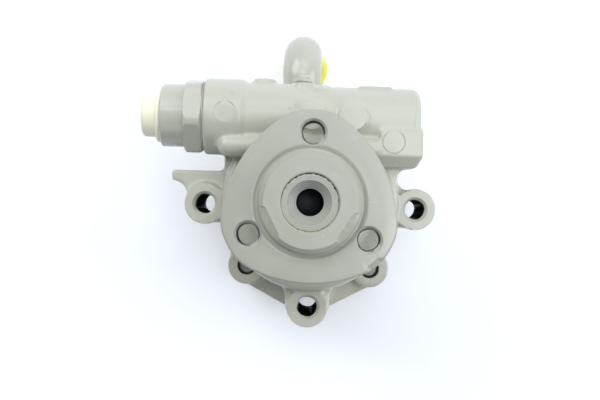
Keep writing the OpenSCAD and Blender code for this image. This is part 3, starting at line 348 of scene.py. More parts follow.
# Finishes
def sprayed_paint(name, deep, pale, grain, grain_depth, dull, rings=0.0):
    """Light warm-grey enamel sprayed over the whole rebuilt pump: half gloss, faintly mottled, with the orange
    peel of the spray gun and, on castings, the grain of the die under it; a few dark specks of dust, bare metal
    where the attribute worn is high, brownish crumbs in the ring round the foot of the shaft's end as an attribute
    weights them, and, where rings gives their depth, the lathe's rings through the film, blue-grey where the
    attribute thin is high."""
    finish = new_finish(name)
    place = add(finish, "TexCoord").outputs["Object"]
    cloud = add(finish, "TexNoise", {"Vector": place, "Scale": per_mm(9), "Detail": 4.0, "Roughness": 0.6})
    tone = add(finish, "Mix", {"Factor": cloud.outputs["Fac"], "A": linear(deep), "B": linear(pale)},
               data_type="RGBA")
    dust = add(finish, "TexVoronoi", {"Vector": place, "Scale": per_mm(3.1), "Randomness": 1.0})
    speck = add(finish, "MapRange", {"Value": dust.outputs["Distance"], "From Min": 0.05, "From Max": 0.03,
                                     "To Min": 0.0, "To Max": 0.5})
    dusty = add(finish, "Mix", {"Factor": speck.outputs["Result"], "A": tone.outputs[2], "B": linear("#5f5f59")},
                data_type="RGBA")
    chips = add(finish, "TexNoise", {"Vector": place, "Scale": per_mm(1.3), "Detail": 6.0, "Roughness": 0.65})
    worn = add(finish, "Attribute", attribute_name="worn")
    rub = add(finish, "Math", {0: worn.outputs["Fac"], 1: chips.outputs["Fac"]}, operation="ADD")
    bare = add(finish, "MapRange", {"Value": rub.outputs[0], "From Min": 1.08, "From Max": 1.15})
    base = add(finish, "Mix", {"Factor": bare.outputs["Result"], "A": dusty.outputs[2], "B": linear("#b9bab8")},
               data_type="RGBA")
    brown_grain = add(finish, "TexNoise", {"Vector": place, "Scale": per_mm(0.7), "Detail": 3.0, "Roughness": 0.6})
    browning = add(finish, "Attribute", attribute_name="browning")
    brown_sum = add(finish, "Math", {0: browning.outputs["Fac"], 1: brown_grain.outputs["Fac"]}, operation="ADD")
    brown_share = add(finish, "MapRange", {"Value": brown_sum.outputs[0], "From Min": 0.9, "From Max": 1.15, "To Max": 0.85})
    base = add(finish, "Mix", {"Factor": brown_share.outputs["Result"], "A": base.outputs[2], "B": linear("#857a4d")},
               data_type="RGBA")
    peel = add(finish, "TexNoise", {"Vector": place, "Scale": per_mm(grain), "Detail": 3.0, "Roughness": 0.55})
    film = add(finish, "Math", {0: peel.outputs["Fac"], 1: bare.outputs["Result"]}, operation="SUBTRACT")
    bump = add(finish, "Bump", {"Height": film.outputs[0], "Distance": grain_depth * MM, "Strength": 1.0})
    normal = bump.outputs["Normal"]
    if rings:
        lathe = add(finish, "TexWave", {"Vector": place, "Scale": wave_scale(0.62), "Distortion": 0.6, "Detail": 1.0},
                    wave_type="RINGS", rings_direction="Z")
        thin = add(finish, "Attribute", attribute_name="thin")
        streak = add(finish, "Math", {0: lathe.outputs["Fac"], 1: thin.outputs["Fac"]}, operation="MULTIPLY")
        base = add(finish, "Mix", {"Factor": streak.outputs[0], "A": base.outputs[2], "B": linear("#8b9095")},
                   data_type="RGBA")
        normal = add(finish, "Bump", {"Height": lathe.outputs["Fac"], "Distance": rings * MM, "Strength": 1.0,
                                      "Normal": normal}).outputs["Normal"]
    gloss = add(finish, "MapRange", {"Value": cloud.outputs["Fac"], "From Min": 0.3, "From Max": 0.7,
                                     "To Min": dull - 0.04, "To Max": dull + 0.04})
    shader = add(finish, "BsdfPrincipled", {"Base Color": base.outputs[2], "Roughness": gloss.outputs["Result"],
                                            "Metallic": bare.outputs["Result"], "Normal": normal, "IOR": 1.6})
    add(finish, "OutputMaterial", {"Surface": shader.outputs["BSDF"]})
    return finish


def steel(name, colour, bright, roughness, pitch):
    """Bare machined steel: grey metal with fine turning marks across the axis, brighter where the tool rubbed."""
    finish = new_finish(name)
    place = add(finish, "TexCoord").outputs["Object"]
    marks = add(finish, "TexWave", {"Vector": place, "Scale": wave_scale(pitch), "Distortion": 1.5, "Detail": 2.0},
                wave_type="RINGS", rings_direction="Z")
    stain = add(finish, "TexNoise", {"Vector": place, "Scale": per_mm(4), "Detail": 5.0})
    tone = add(finish, "Mix", {"Factor": stain.outputs["Fac"], "A": linear(colour), "B": linear(bright)},
               data_type="RGBA")
    bump = add(finish, "Bump", {"Height": marks.outputs["Fac"], "Distance": 0.004 * MM, "Strength": 1.0})
    shader = add(finish, "BsdfPrincipled", {"Base Color": tone.outputs[2], "Metallic": 1.0,
                                            "Roughness": roughness, "Normal": bump.outputs["Normal"]})
    add(finish, "OutputMaterial", {"Surface": shader.outputs["BSDF"]})
    return finish


def plastic(name, pale, deep, cloud_size, roughness, glow):
    """Soft moulded polyethylene: slightly see-through, cloudy in tone, a low sheen and a fine matt skin."""
    finish = new_finish(name)
    place = add(finish, "TexCoord").outputs["Object"]
    cloud = add(finish, "TexNoise", {"Vector": place, "Scale": per_mm(cloud_size), "Detail": 3.0})
    tone = add(finish, "Mix", {"Factor": cloud.outputs["Fac"], "A": linear(pale), "B": linear(deep)},
               data_type="RGBA")
    grain = add(finish, "TexNoise", {"Vector": place, "Scale": per_mm(0.5), "Detail": 2.0})
    bump = add(finish, "Bump", {"Height": grain.outputs["Fac"], "Distance": 0.01 * MM, "Strength": 1.0})
    shader = add(finish, "BsdfPrincipled", {
        "Base Color": tone.outputs[2], "Roughness": roughness, "Normal": bump.outputs["Normal"], "IOR": 1.51,
        "Subsurface Weight": glow, "Subsurface Radius": (0.004, 0.004, 0.003), "Subsurface Scale": 0.5})
    add(finish, "OutputMaterial", {"Surface": shader.outputs["BSDF"]})
    return finish


def rubber(name):
    """Moulded black nitrile rubber: dark, matt, with a faint bloom."""
    finish = new_finish(name)
    place = add(finish, "TexCoord").outputs["Object"]
    bloom = add(finish, "TexNoise", {"Vector": place, "Scale": per_mm(2), "Detail": 4.0})
    tone = add(finish, "Mix", {"Factor": bloom.outputs["Fac"], "A": linear("#1c1c1e"), "B": linear("#343436")},
               data_type="RGBA")
    shader = add(finish, "BsdfPrincipled", {"Base Color": tone.outputs[2], "Roughness": 0.62, "IOR": 1.52})
    add(finish, "OutputMaterial", {"Surface": shader.outputs["BSDF"]})
    return finish


cast_paint = sprayed_paint("sprayed_enamel_on_die_cast_aluminium", "#bdbdae", "#c8c8b8", 0.9, 0.035, 0.3)
smooth_paint = sprayed_paint("sprayed_enamel_on_machined_steel", "#bbbbad", "#c5c5b7", 1.6, 0.012, 0.22)
# The flange gets a darker copy of the same enamel: painted shade for its flat face, which is meant to catch less
# light than the castings.
shaded_flange_paint = sprayed_paint("sprayed_enamel_darkened_as_shade_on_flange", "#a7a89a", "#b1b2a4", 1.6, 0.012, 0.24)
turned_paint = sprayed_paint("thin_sprayed_enamel_on_turned_shaft_end", "#a0a193", "#a8a99b", 1.6, 0.008, 0.25,
                             rings=0.04)
bare_steel = steel("turned_bare_steel", "#8f9192", "#c9cac8", 0.34, 0.25)
# Bare threads, darkened well below turned steel: painted shade inside the tapped holes and in the gap round the
# shaft's end.
bare_thread_dark_as_shade = steel("bare_tapped_metal_darkened_as_shade", "#55565a", "#8b8d8f", 0.38, 0.5)
# Near-black steel for the shaft's centre bore: painted shade for the deep hole.
painted_shade_bore_metal = steel("bore_metal_darkened_as_painted_shade", "#3c3e43", "#5a5d62", 0.5, 0.5)
bronze = steel("sintered_bronze", "#a98a55", "#c4a874", 0.45, 0.4)
black_rubber = rubber("moulded_nitrile_rubber")
cream_plastic = plastic("moulded_cream_polyethylene", "#fffce4", "#faf6da", 6, 0.42, 0.35)
yellow_plastic = plastic("moulded_yellow_polyethylene", "#fdf676", "#f6ea58", 6, 0.4, 0.3)

for node in ("front_bush", "rear_bush"):
    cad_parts[node].data.materials.clear()
    dressed(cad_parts[node], bronze)
for node in ("cover_o_ring", "port_plate_o_ring", "pipe_o_ring", "shaft_seal"):
    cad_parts[node].data.materials.clear()
    dressed(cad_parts[node], black_rubber)
for node in ["dowel_pins", "front_port_plate", "cam_ring", "rotor", "rotor_circlip", "flow_spool", "relief_seat",
             "relief_ball"] + [f"vane_{i:02d}" for i in range(1, 11)]:
    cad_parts[node].data.materials.clear()
    dressed(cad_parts[node], bare_steel)

# Housing: cast skin, then the crisp casting pads and the machined bores. Fills overlap the bores' walls by LID; the
# skins are sampled every VOXEL mm and eased so many PASSES; an ear's hole is painted down to EAR_PAINT
LID, EAR_PAINT = 0.3, -3.0
HOUSING_VOXEL, HOUSING_PASSES, COVER_VOXEL, COVER_PASSES = 0.56, 3, 0.6, 4
BOLT_THREAD, BOLT_MOUTH, BOLT_PLAY = 0.3, 0.15, 0.3
housing_fills = [skin("fill", rod(CAVITY_R + LID, JOINT_Z, CAVITY_FLOOR + 3)),
                 skin("fill", rod(FRONT_BUSH_R + LID, CAVITY_FLOOR, SEAL_FLOOR + 1)),
                 skin("fill", rod(SEAL_R + LID, SEAL_FLOOR - LID, NOSE_RISE)),
                 skin("fill", along_valve(rod(UNION_THREAD_R + LID, COLLAR_X, VALVE_MOUTH_X + 1))),
                 skin("fill", along_valve(rod(VALVE_BORE_R + LID, VALVE_MOUTH_X, VALVE_BORE_END_X + LID))),
                 skin("fill", along_pipe(rod(PIPE_R + LID, CAVITY_R - 2, SUCTION_TOP))),
                 skin("fill", along_pipe(rod(PIPE_RING_CUT_R + LID, SUCTION_TOP - 2.2, SUCTION_TOP))),
                 skin("fill", along_pipe(moved(rod(SCREW_R + LID, SUCTION_TOP - 3, SUCTION_TOP),
                                               TAB_SHIFT, -TAB_REACH)))]
housing_fills += [skin("fill", moved(rod(EAR_HOLE_R + THREAD_DEPTH + EAR_CHAMFER + LID, JOINT_Z, 0), x, y))
                  for x, y in EARS]
housing_fills += [skin("fill", moved(rod(BOLT_R + LID, JOINT_Z, LOBE_FRONT), x, y)) for x, y in LOBES]


def housing_hold(place):
    """Weight of the easing: less on the ears and the nose, whose edges are machined."""
    x, y, z = place.T
    weight = np.ones(len(place))
    for ex, ey in EARS:
        near = np.hypot(x - ex, y - ey) < EAR_R + 1.2
        weight = np.where(near & (z > -4), 0.22, weight)
    weight = np.where((np.hypot(x, y) < NOSE_R + 1) & (z > 9), 0.3, weight)
    return weight


housing = cast_skin("housing_casting", "housing", housing_fills, HOUSING_VOXEL, HOUSING_PASSES,
                    housing_hold)
pads = [skin("pad", moved(turned(eased([(0, 0, 0), (PAD_R + 0.15, 0, 0), (PAD_R, PAD_TOP, 0.25), (0, PAD_TOP, 0)])),
                          x, y)) for x, y in FRONT_PADS]
cut(housing, pads, "UNION")
bores = [skin("bore", rod(CAVITY_R, JOINT_Z - 1, CAVITY_FLOOR)),
         skin("bore", rod(FRONT_BUSH_R + SEAT_GAP, CAVITY_FLOOR - 1, SEAL_FLOOR + 1)),
         skin("bore", rod(SEAL_R + SEAT_GAP, SEAL_FLOOR, NOSE_RISE + 1)),
         skin("bore", along_valve(rod(UNION_THREAD_R + SEAT_GAP, COLLAR_X - 1, VALVE_MOUTH_X))),
         skin("bore", along_valve(rod(VALVE_BORE_R, VALVE_MOUTH_X - 1, VALVE_BORE_END_X))),
         skin("bore", along_pipe(rod(PIPE_R + SEAT_GAP, SOCKET_Y, SUCTION_TOP + 1))),
         skin("bore", along_pipe(rod(PIPE_RING_CUT_R, SUCTION_TOP - PIPE_RING_DEPTH, SUCTION_TOP + 1))),
         skin("bore", along_pipe(moved(rod(SCREW_R + SEAT_GAP, SUCTION_TOP - SCREW_HOLE_DEPTH, SUCTION_TOP + 1),
                                       TAB_SHIFT, -TAB_REACH))),
         skin("bore", ring_mark(MARK_R, *COLLAR_MARK, lambda x, y: np.sqrt(COLLAR_R ** 2 - (y - VALVE_Y) ** 2)),
              loop=True),
         skin("bore", ring_mark(MARK_R, *BLOCK_MARK, lambda x, y: BLOCK_Z + 0 * x), loop=True)]
bores += [skin("bore", moved(tapped(EAR_HOLE_R, EAR_CHAMFER, JOINT_Z - 1, 0), x, y)) for x, y in EARS]
bores += [skin("bore", moved(tapped(BOLT_R - BOLT_THREAD, BOLT_MOUTH, JOINT_Z - 1, LOBE_FRONT), x, y))
          for x, y in LOBES[2:]]
bores += [skin("bore", moved(rod(BOLT_R + SEAT_GAP, JOINT_Z - 1, LOBE_FRONT - 2), x, y)) for x, y in LOBES[:2]]
cut(housing, bores)
dressed(housing, cast_paint, bare_thread_dark_as_shade)
# The ear and lobe holes' thread walls take the darkened bare metal, as painted shade.
for hole in EARS:
    bare_faces(housing, inside_hole(*hole, EAR_HOLE_R + THREAD_DEPTH + SEAT_GAP, EAR_PAINT), 1)
for hole in LOBES:
    bare_faces(housing, inside_hole(*hole, BOLT_R + BOLT_PLAY + SEAT_GAP, LOBE_FRONT - BOLT_MOUTH), 1)
finished(housing, "body", "painted_casting", "housing")

# Rear cover: the same cast skin, with its bores
cover_fills = [skin("fill", rod(CLIP_RECESS_R + LID, COVER_BACK + 1, SPIGOT_FACE)),
               skin("fill", rod(COVER_RING_R + 1.2, JOINT_Z - 2, JOINT_Z - SEAT_GAP))]
cover_fills += [skin("fill", moved(rod(BOLT_R + 0.6, COVER_BACK, JOINT_Z - SEAT_GAP), x, y)) for x, y in LOBES]
cover_fills += [skin("fill", moved(rod(DOWEL_R + LID, SPIGOT_FACE - DOWEL_DEPTH - 0.2, SPIGOT_FACE), x, 0))
                for x in (DOWEL_REACH, -DOWEL_REACH)]
cover = cast_skin("rear_cover_casting", "rear_cover", cover_fills, COVER_VOXEL, COVER_PASSES,
                  lambda place: 0.7 * (place[:, 2] < JOINT_Z - 1))
cover_bores = [skin("bore", rod(CLIP_RECESS_R, REAR_BUSH_FRONT, SPIGOT_FACE + 1)),
               skin("bore", rod(REAR_BUSH_R + SEAT_GAP, REAR_BUSH_BACK - SEAT_GAP, REAR_BUSH_FRONT + 1)),
               skin("bore", turned(np.array([[COVER_RING_R + side * COVER_RING_HALF, z] for side, z in (
                   (-1, JOINT_Z - COVER_RING_DEPTH), (1, JOINT_Z - COVER_RING_DEPTH), (1, JOINT_Z + 1),
                   (-1, JOINT_Z + 1))])), loop=True)]
cover_bores += [skin("bore", moved(rod(BOLT_R + BOLT_PLAY, COVER_BACK - 1, JOINT_Z + 1), x, y)) for x, y in LOBES]
cover_bores += [skin("bore", moved(rod(DOWEL_R + SEAT_GAP, SPIGOT_FACE - DOWEL_DEPTH, SPIGOT_FACE + 1), x, 0))
                for x in (DOWEL_REACH, -DOWEL_REACH)]
cut(cover, cover_bores)
finished(dressed(cover, cast_paint), "body", "painted_casting", "rear_cover")


def hex_reach(a, flats, turn):
    """Distance from the axis to a hexagon's side at angle a: half the width across flats over the cosine of the
    angle to the nearest side's middle."""
    return flats / 2 / np.cos((a - turn + math.pi / 6) % (math.pi / 3) - math.pi / 6)


def softer(a, b, k=9.0):
    """The smaller of two radii, with a rounded change from one to the other."""
    return -np.log(np.exp(-k * a) + np.exp(-k * b)) / k


# Cover bolts: hexagon heads with a flange, threads up into the lobes
def bolt():
    """Polar loft: the head's radius is the smaller of the hexagon and a turned cone, and the thread's radius waves
    along a helix of 1 mm pitch."""
    a = np.linspace(0, TURN, 144, endpoint=False)
    top = COVER_BACK - SEAT_GAP
    low = top - BOLT_FLANGE_T
    head = dense(eased([(0, REST_Z + 0.35, 0), (4.2, REST_Z + 0.35, 0.1), (4.5, REST_Z, 0.1), (5.0, REST_Z, 0.2),
                        (5.8, REST_Z + 0.8, 0.2), (5.8, low + 0.1, 0.4)]), 0.25)
    flange = dense(eased([(5.9, low + 0.15, 0), (BOLT_FLANGE_R, low + 0.5, 0.2), (BOLT_FLANGE_R, top, 0.2),
                          (BOLT_R, top, 0)]), 0.25)
    z = np.arange(top, BOLT_END - 0.6, 0.25)
    tip = np.array([[BOLT_R - 0.1, BOLT_END - 0.6], [BOLT_R - 0.6, BOLT_END], [0, BOLT_END]])
    wave = np.abs((z - a[:, None] / TURN) % 1 - 0.5) * 2
    radii = np.concatenate([softer(head[:, 0] + 0 * a[:, None], hex_reach(a, BOLT_AF, 0)[:, None]),
                            flange[:, 0] + 0 * a[:, None], BOLT_R - BOLT_THREAD * wave,
                            tip[:, 0] + 0 * a[:, None]], 1)
    radii[:, 0] = 0
    return lofted(a, radii, np.concatenate([head[:, 1], flange[:, 1], z, tip[:, 1]]))


cover_bolts = skin("cover_bolt_set", *[moved(bolt(), x, y) for x, y in LOBES])
finished(dressed(cover_bolts, smooth_paint), "body", "painted_steel", "cover_bolts")


# Pulley flange
def flange_reach(a):
    """Distance from the axis to the flange's edge at angle a: blunt corner ends on one circle about the axis, met by
    three flatter side arcs, with a rounded change between them."""
    side = TURN / 6 - np.abs((a - math.pi / 2 + math.pi / 3) % (TURN / 3) - math.pi / 3)
    flat = -SIDE_OFFSET * np.cos(side) + np.sqrt(SIDE_R ** 2 - (SIDE_OFFSET * np.sin(side)) ** 2)
    return softer(flat, END_R + 0 * a, 2.5)


JAWS = np.radians([85.0, 208.0, 328.0]), np.radians([15.0, 22.0, 21.0]), np.array([0.3, 1.0, 1.0])
JAW_DEPTH, FACE_DISH = 1.35, 0.015


def jaw_share(a):
    """How far the pilot's chamfer is worn back at angle a: three lens-shaped facets, left by a chuck's jaws, each a
    circle's rise over its own width, with a slightly ragged edge."""
    off = (a[:, None] - JAWS[0] + math.pi) % TURN - math.pi
    lens = JAWS[2] * np.sqrt(np.maximum(1 - (off / JAWS[1]) ** 2, 0))
    ragged = 0.03 * np.sin(31 * a) + 0.02 * np.sin(53 * a + 1) + 0.015 * np.sin(97 * a + 2)
    return np.clip(lens.max(1) * (1 + ragged), 0, 1.1)


def pilot_line(worn):
    """Section of the groove, the pilot boss and the shaft's bore, with the chamfer's inner edge worn back. The faced
    front is dished by a hair, as a half sine wave across it."""
    outer, inner = PILOT_R - PILOT_CHAMFER - worn, SHAFT_R + 0.4
    slope = [(PILOT_R + t * (outer - PILOT_R), PILOT_FRONT - PILOT_CHAMFER * (1 - t), 0) for t in (0.3, 0.5, 0.7)]
    face = [(outer + t * (inner - outer), PILOT_FRONT - FACE_DISH * math.sin(math.pi * t), 0)
            for t in np.linspace(0.1, 0.9, 9)]
    return eased([(GROOVE_R, PLATE_FRONT, 0), (GROOVE_R - 0.9, PLATE_FRONT - GROOVE_DEPTH, 0.6),
                  (PILOT_R, PLATE_FRONT - GROOVE_DEPTH, 0.5), (PILOT_R, PILOT_FRONT - PILOT_CHAMFER, 0.25), *slope,
                  (outer, PILOT_FRONT, 0.15), *face, (inner, PILOT_FRONT, 0.1),
                  (SHAFT_R + SEAT_GAP, SHAFT_FRONT - 0.05, 0.05), (SHAFT_R + SEAT_GAP, HUB_BACK + 0.5, 0)])


CHIP_ANGLE, CHIP_WIDTH, CHIP_DEPTH, RIM_CHAMFER = math.radians(-42.2), math.radians(6.5), 1.7, 0.5
RIM_BAND = 4


def chip_share(a):
    """How far the plate's front rim is ground away at angle a: one flat patch with a sharp start and end."""
    off = (a - CHIP_ANGLE + math.pi) % TURN - math.pi
    return np.clip(1.6 * (1 - (off / CHIP_WIDTH) ** 2), 0, 1)


def rim_line(chamfer):
    """Section of the plate's rim, from the back to the front, as distances from the edge, with that front chamfer."""
    return eased([(-3, PLATE_BACK, 0), (0, PLATE_BACK, 0.5), (0, PLATE_FRONT - chamfer, 0.2),
                  (-chamfer, PLATE_FRONT, 0.2), (-RIM_BAND, PLATE_FRONT, 0)], 5)


def flange_net():
    """Polar loft of the flange's section: hub, plate, groove and pilot boss. The plate's stations run from the
    groove out to the flange's edge, the pilot's from the plain line to the worn one, and the rest are round."""
    a = np.linspace(0, TURN, 600, endpoint=False)
    edge = flange_reach(a - FLANGE_TURN)[:, None]
    rim, chipped = rim_line(RIM_CHAMFER), rim_line(CHIP_DEPTH)
    inner = dense(eased([(SHAFT_R + SEAT_GAP, HUB_BACK, 0), (HUB_R, HUB_BACK, 0.5), (HUB_R, PLATE_BACK, 1.0),
                         (GROOVE_R, PLATE_BACK, 0)]), 0.8)
    face = np.linspace(0.08, 0.95, 12)
    wide = np.ones_like(edge)
    plain, jawed = pilot_line(0.0), pilot_line(JAW_DEPTH)
    share = jaw_share(a)[:, None]
    stretch = GROOVE_R + face[::-1] * (edge - RIM_BAND - GROOVE_R)
    gone = chip_share(a)[:, None]
    radii = np.concatenate([inner[:, 0] * wide, edge + rim[:, 0] + gone * (chipped - rim)[:, 0], stretch,
                            plain[:, 0] + share * (jawed - plain)[:, 0]], 1)
    dished = PLATE_FRONT - FACE_DISH * np.sin(math.pi * face[::-1])
    heights = np.concatenate([inner[:, 1] * wide, rim[:, 1] + gone * (chipped - rim)[:, 1], dished * wide,
                              plain[:, 1] * wide], 1)
    return lofted(a, radii, heights)


flange = skin("pulley_flange_plate", flange_net(), loop=True)
PULLEY_HOLES = [(PULLEY_REACH * math.cos(a), PULLEY_REACH * math.sin(a))
                for a in np.radians([90, 210, 330]) + FLANGE_TURN]
cut(flange, [skin("hole", moved(tapped(PULLEY_HOLE_R, PULLEY_CHAMFER, PLATE_BACK - 1, PLATE_FRONT), x, y))
             for x, y in PULLEY_HOLES])
# The flange's enamel is the darker copy, as painted shade.
dressed(flange, shaded_flange_paint, bare_thread_dark_as_shade)
# The bore round the shaft and the tapped holes' walls take the darkened bare metal, as painted shade.
bare_faces(flange, inside_hole(0, 0, SHAFT_R + 0.1, SHAFT_FRONT - 0.1), 1)
for hole in PULLEY_HOLES:
    bare_faces(flange, inside_hole(*hole, PULLEY_HOLE_R + THREAD_DEPTH + SEAT_GAP, PLATE_FRONT - PULLEY_CHAMFER), 1)


def flange_wear(x, y, z):
    """Paint worn through on the jaw facets' edges, along the plate's front rim, most at the lower right, and in
    flakes round the upper half of the shaft's bore."""
    a, r = np.arctan2(y, x), np.hypot(x, y)
    jaws = jaw_share(a) * np.exp(-((r - 14.4) / 0.5) ** 2) * (z > 27)
    rim = np.exp(-((flange_reach(a - FLANGE_TURN) - r) / 0.35) ** 2) * (z > 24)
    patch = np.exp(-((x - 19.6) / 2.6) ** 2 - ((y + 17.8) / 2.2) ** 2)
    flakes = np.exp(-((r - SHAFT_R - 0.3) / 0.35) ** 2) * np.clip(np.sin(a) + 0.1, 0, 1) * (z > SHAFT_FRONT - 0.2)
    return np.clip(0.44 * jaws + rim * (0.5 + 0.45 * patch) + 0.6 * flakes, 0, 1)


def hub_brown_ring(x, y, z):
    """Weight of a brownish ring round the foot of the shaft's end, from the left over the bottom to the right, darker
    towards the bottom.
    """
    a, r = np.arctan2(y, x), np.hypot(x, y)
    low = np.clip(0.35 - 0.75 * np.sin(a), 0, 1)
    return 0.62 * low * np.exp(-((r - SHAFT_R) / 0.5) ** 2) * (z > SHAFT_FRONT - 1.5)


marked(flange, "worn", flange_wear)
marked(flange, "browning", hub_brown_ring)
finished(flange, "rotating", "painted_steel", "pulley_flange")


# Drive shaft: turned journal, splined middle and tail, centre bore at the front
TEARS = 110


def torn_gap(a):
    """Width of the gap where the paint has torn round the shaft's end: jagged, by straight lines between seeded
    heights, and widest over the upper half."""
    heights = np.abs(np.random.default_rng(11).normal(0.3, 0.8, TEARS))
    jagged = np.interp(a / TURN * TEARS, np.arange(TEARS + 1), np.append(heights, heights[0]))
    upper = np.clip(0.35 + 0.8 * np.sin(a + 0.1), 0.0, 1)
    return 0.03 + 0.32 * upper * np.clip(jagged, 0, 1.8)


def shaft_net():
    """Polar loft from the bore's floor over the front face and down the outside; along the spline the radius is a
    clipped triangle wave of the angle, and elsewhere it is round."""
    a = np.linspace(0, TURN, 720, endpoint=False)
    wide = np.ones((len(a), 1))
    sink = SHAFT_FRONT - (COUNTERSINK_R - CENTRE_R)
    bore = eased([(0, SHAFT_FRONT - CENTRE_DEPTH, 0), (CENTRE_R, SHAFT_FRONT - CENTRE_DEPTH + 1.5, 0.2),
                  (CENTRE_R, sink - 1, 0)])
    face = dense(eased([(CENTRE_R, sink - 0.9, 0), (CENTRE_R, sink, 0.15), (COUNTERSINK_R, SHAFT_FRONT, 0.12),
                        (SHAFT_R, SHAFT_FRONT, 0.06), (SHAFT_R, SHAFT_FRONT - 3, 0)]), 0.4)
    front = np.concatenate([bore, face, [[SHAFT_R, ROTOR_FRONT + 0.03]]])
    tooth = np.abs((a / TURN * SPLINE_TEETH + 0.5) % 1 - 0.5) * 2
    spline = SPLINE_TIP_R - (SPLINE_TIP_R - SPLINE_ROOT_R) * np.clip((tooth - 0.36) / 0.4, 0, 1)
    tail = eased([(TAIL_R, ROTOR_BACK, 0), (TAIL_R, ROTOR_BACK - 0.18, 0), (TAIL_R - 0.7, ROTOR_BACK - 0.18, 0),
                  (TAIL_R - 0.7, ROTOR_BACK - 1.42, 0), (TAIL_R, ROTOR_BACK - 1.42, 0), (TAIL_R, TAIL_BACK + 0.5, 0),
                  (TAIL_R - 0.5, TAIL_BACK, 0), (0, TAIL_BACK, 0)])
    rim = np.clip((front[:, 0] - SHAFT_R + 1) / 0.55, 0, 1) * np.clip((front[:, 1] - SHAFT_FRONT + 2) / 0.4, 0, 1)
    radii = np.concatenate([front[:, 0] - rim * torn_gap(a)[:, None], spline[:, None], spline[:, None],
                            tail[:, 0] * wide], 1)
    return lofted(a, radii, np.concatenate([front[:, 1], [ROTOR_FRONT + 0.03, ROTOR_BACK], tail[:, 1]]))


shaft = skin("drive_shaft_turned", shaft_net())
dressed(shaft, turned_paint, bare_thread_dark_as_shade, painted_shade_bore_metal)
# Below its front face the shaft takes the darkened bare metal, painted shade in the torn gap.
bare_faces(shaft, lambda x, y, z: z < SHAFT_FRONT - 0.1, 1)
# The centre bore's walls take the near-black metal, painted shade in the deep hole.
bare_faces(shaft, lambda x, y, z: (np.hypot(x, y) < CENTRE_R + 0.02) & (z > 0), 2)
bare_faces(shaft, lambda x, y, z: (np.hypot(x, y) > CENTRE_R + 0.03) & (np.hypot(x, y) < COUNTERSINK_R)
           & (z > SHAFT_FRONT - 3), 0)
marked(shaft, "browning", hub_brown_ring)
marked(shaft, "thin", lambda x, y, z: (np.hypot(x, y) < COUNTERSINK_R + 0.1) * (z > 0)
       * np.clip(0.35 + 0.4 * np.cos(np.arctan2(y, x) - math.radians(115)), 0, 1))
finished(shaft, "rotating", "bare_steel", "drive_shaft")


# Outlet union, its washer and the shipping plug
def union_net():
    """Polar loft along the valve's axis: a round collar, then the smaller of the hexagon and its turned cone, the
    screwed stem, and back through the orifice and the tapped bore."""
    a = np.linspace(0, TURN, 480, endpoint=False)
    wide = np.ones((len(a), 1))
    collar = dense(eased([(OUTLET_R + 0.8, UNION_X0, 0), (UNION_COLLAR_R, UNION_X0, 0.8),
                          (UNION_COLLAR_R, HEX_X0, 0.25), (11.0, HEX_X0, 0)]), 0.3)
    turned_line = dense(eased([(11.05, HEX_X0, 0), (UNION_TURNED_R - 0.8, HEX_X0, 0.2),
                               (UNION_TURNED_R + 0.1, HEX_X0 + 0.9, 0.4),
                               (UNION_TURNED_R + 0.1, SEAL_FACE_X - 0.7, 0.4), (11.3, SEAL_FACE_X, 0.1)]), 0.2)
    flats = hex_reach(a, UNION_AF, UNION_TURN)[:, None]
    back = np.array([[UNION_THREAD_R, SEAL_FACE_X], [UNION_THREAD_R, THREAD_END_X], [ORIFICE_R, THREAD_END_X],
                     [ORIFICE_R, UNION_X0 + OUTLET_DEPTH], [OUTLET_R, UNION_X0 + OUTLET_DEPTH],
                     [OUTLET_R, UNION_X0 + 0.8]])
    radii = np.concatenate([collar[:, 0] * wide, softer(turned_line[:, 0] * wide, flats), back[:, 0] * wide], 1)
    return along_valve(lofted(a, radii, np.concatenate([collar[:, 1], turned_line[:, 1], back[:, 1]])))


outlet_union = skin("outlet_union_hex", union_net(), loop=True)
finished(dressed(outlet_union, smooth_paint), "body", "painted_steel", "outlet_union")

washer_line = eased([(9.02, SEAL_FACE_X + 0.02, 0), (WASHER_R, SEAL_FACE_X + 0.02, 0.15),
                     (WASHER_R, COLLAR_X - 0.02, 0.15), (9.02, COLLAR_X - 0.02, 0)])
washer = skin("union_seal_washer", along_valve(turned(washer_line)), loop=True)
finished(dressed(washer, smooth_paint), "body", "painted_steel", "union_seal")

plug_x = UNION_X0 - SEAT_GAP
plug_stem_r = OUTLET_R - 2 * SEAT_GAP
plug_line = eased([(0, plug_x + 0.8, 0), (plug_stem_r - 1.6, plug_x + 0.8, 0.3), (plug_stem_r - 1.6, plug_x + 9, 0.3),
                   (plug_stem_r, plug_x + 9, 0.3), (plug_stem_r, plug_x, 0.1), (PLUG_FLANGE_R, plug_x, 0.3),
                   (PLUG_FLANGE_R, plug_x - PLUG_FLANGE_T, 0.5), (PLUG_HEAD_R, plug_x - PLUG_FLANGE_T, 0.4),
                   (PLUG_HEAD_R - 0.1, plug_x - PLUG_FLANGE_T - PLUG_HEAD_LEN, 1.2),
                   (0, plug_x - PLUG_FLANGE_T - PLUG_HEAD_LEN, 0)], 8)
plug = skin("outlet_shipping_plug", along_valve(turned(dense(plug_line, 0.5))))
finished(dressed(plug, cream_plastic), "body", "cream_plastic", "outlet_plug")


# Suction pipe, its clamp and its cap
def pipe_frame(s):
    """Centre line of the pipe at distance s from the bend's start: straight up, round the bend, straight on.
    Gives the points, the tangents and the two directions across."""
    lean = np.array([math.sin(BEND_YAW), 0, -math.cos(BEND_YAW)])
    up, turn = np.array([0.0, 1, 0]), np.clip(s / BEND_R, 0, BEND_ANGLE)[:, None]
    tangent = up * np.cos(turn) + lean * np.sin(turn)
    past = (s - np.clip(s, 0, BEND_R * BEND_ANGLE))[:, None]
    point = (np.array([PIPE_X, BEND_START_Y, PIPE_Z]) + BEND_R * (lean * (1 - np.cos(turn)) + up * np.sin(turn))
             + past * tangent)
    across = np.cross(up, lean)
    return point, tangent, across, np.cross(tangent, across)


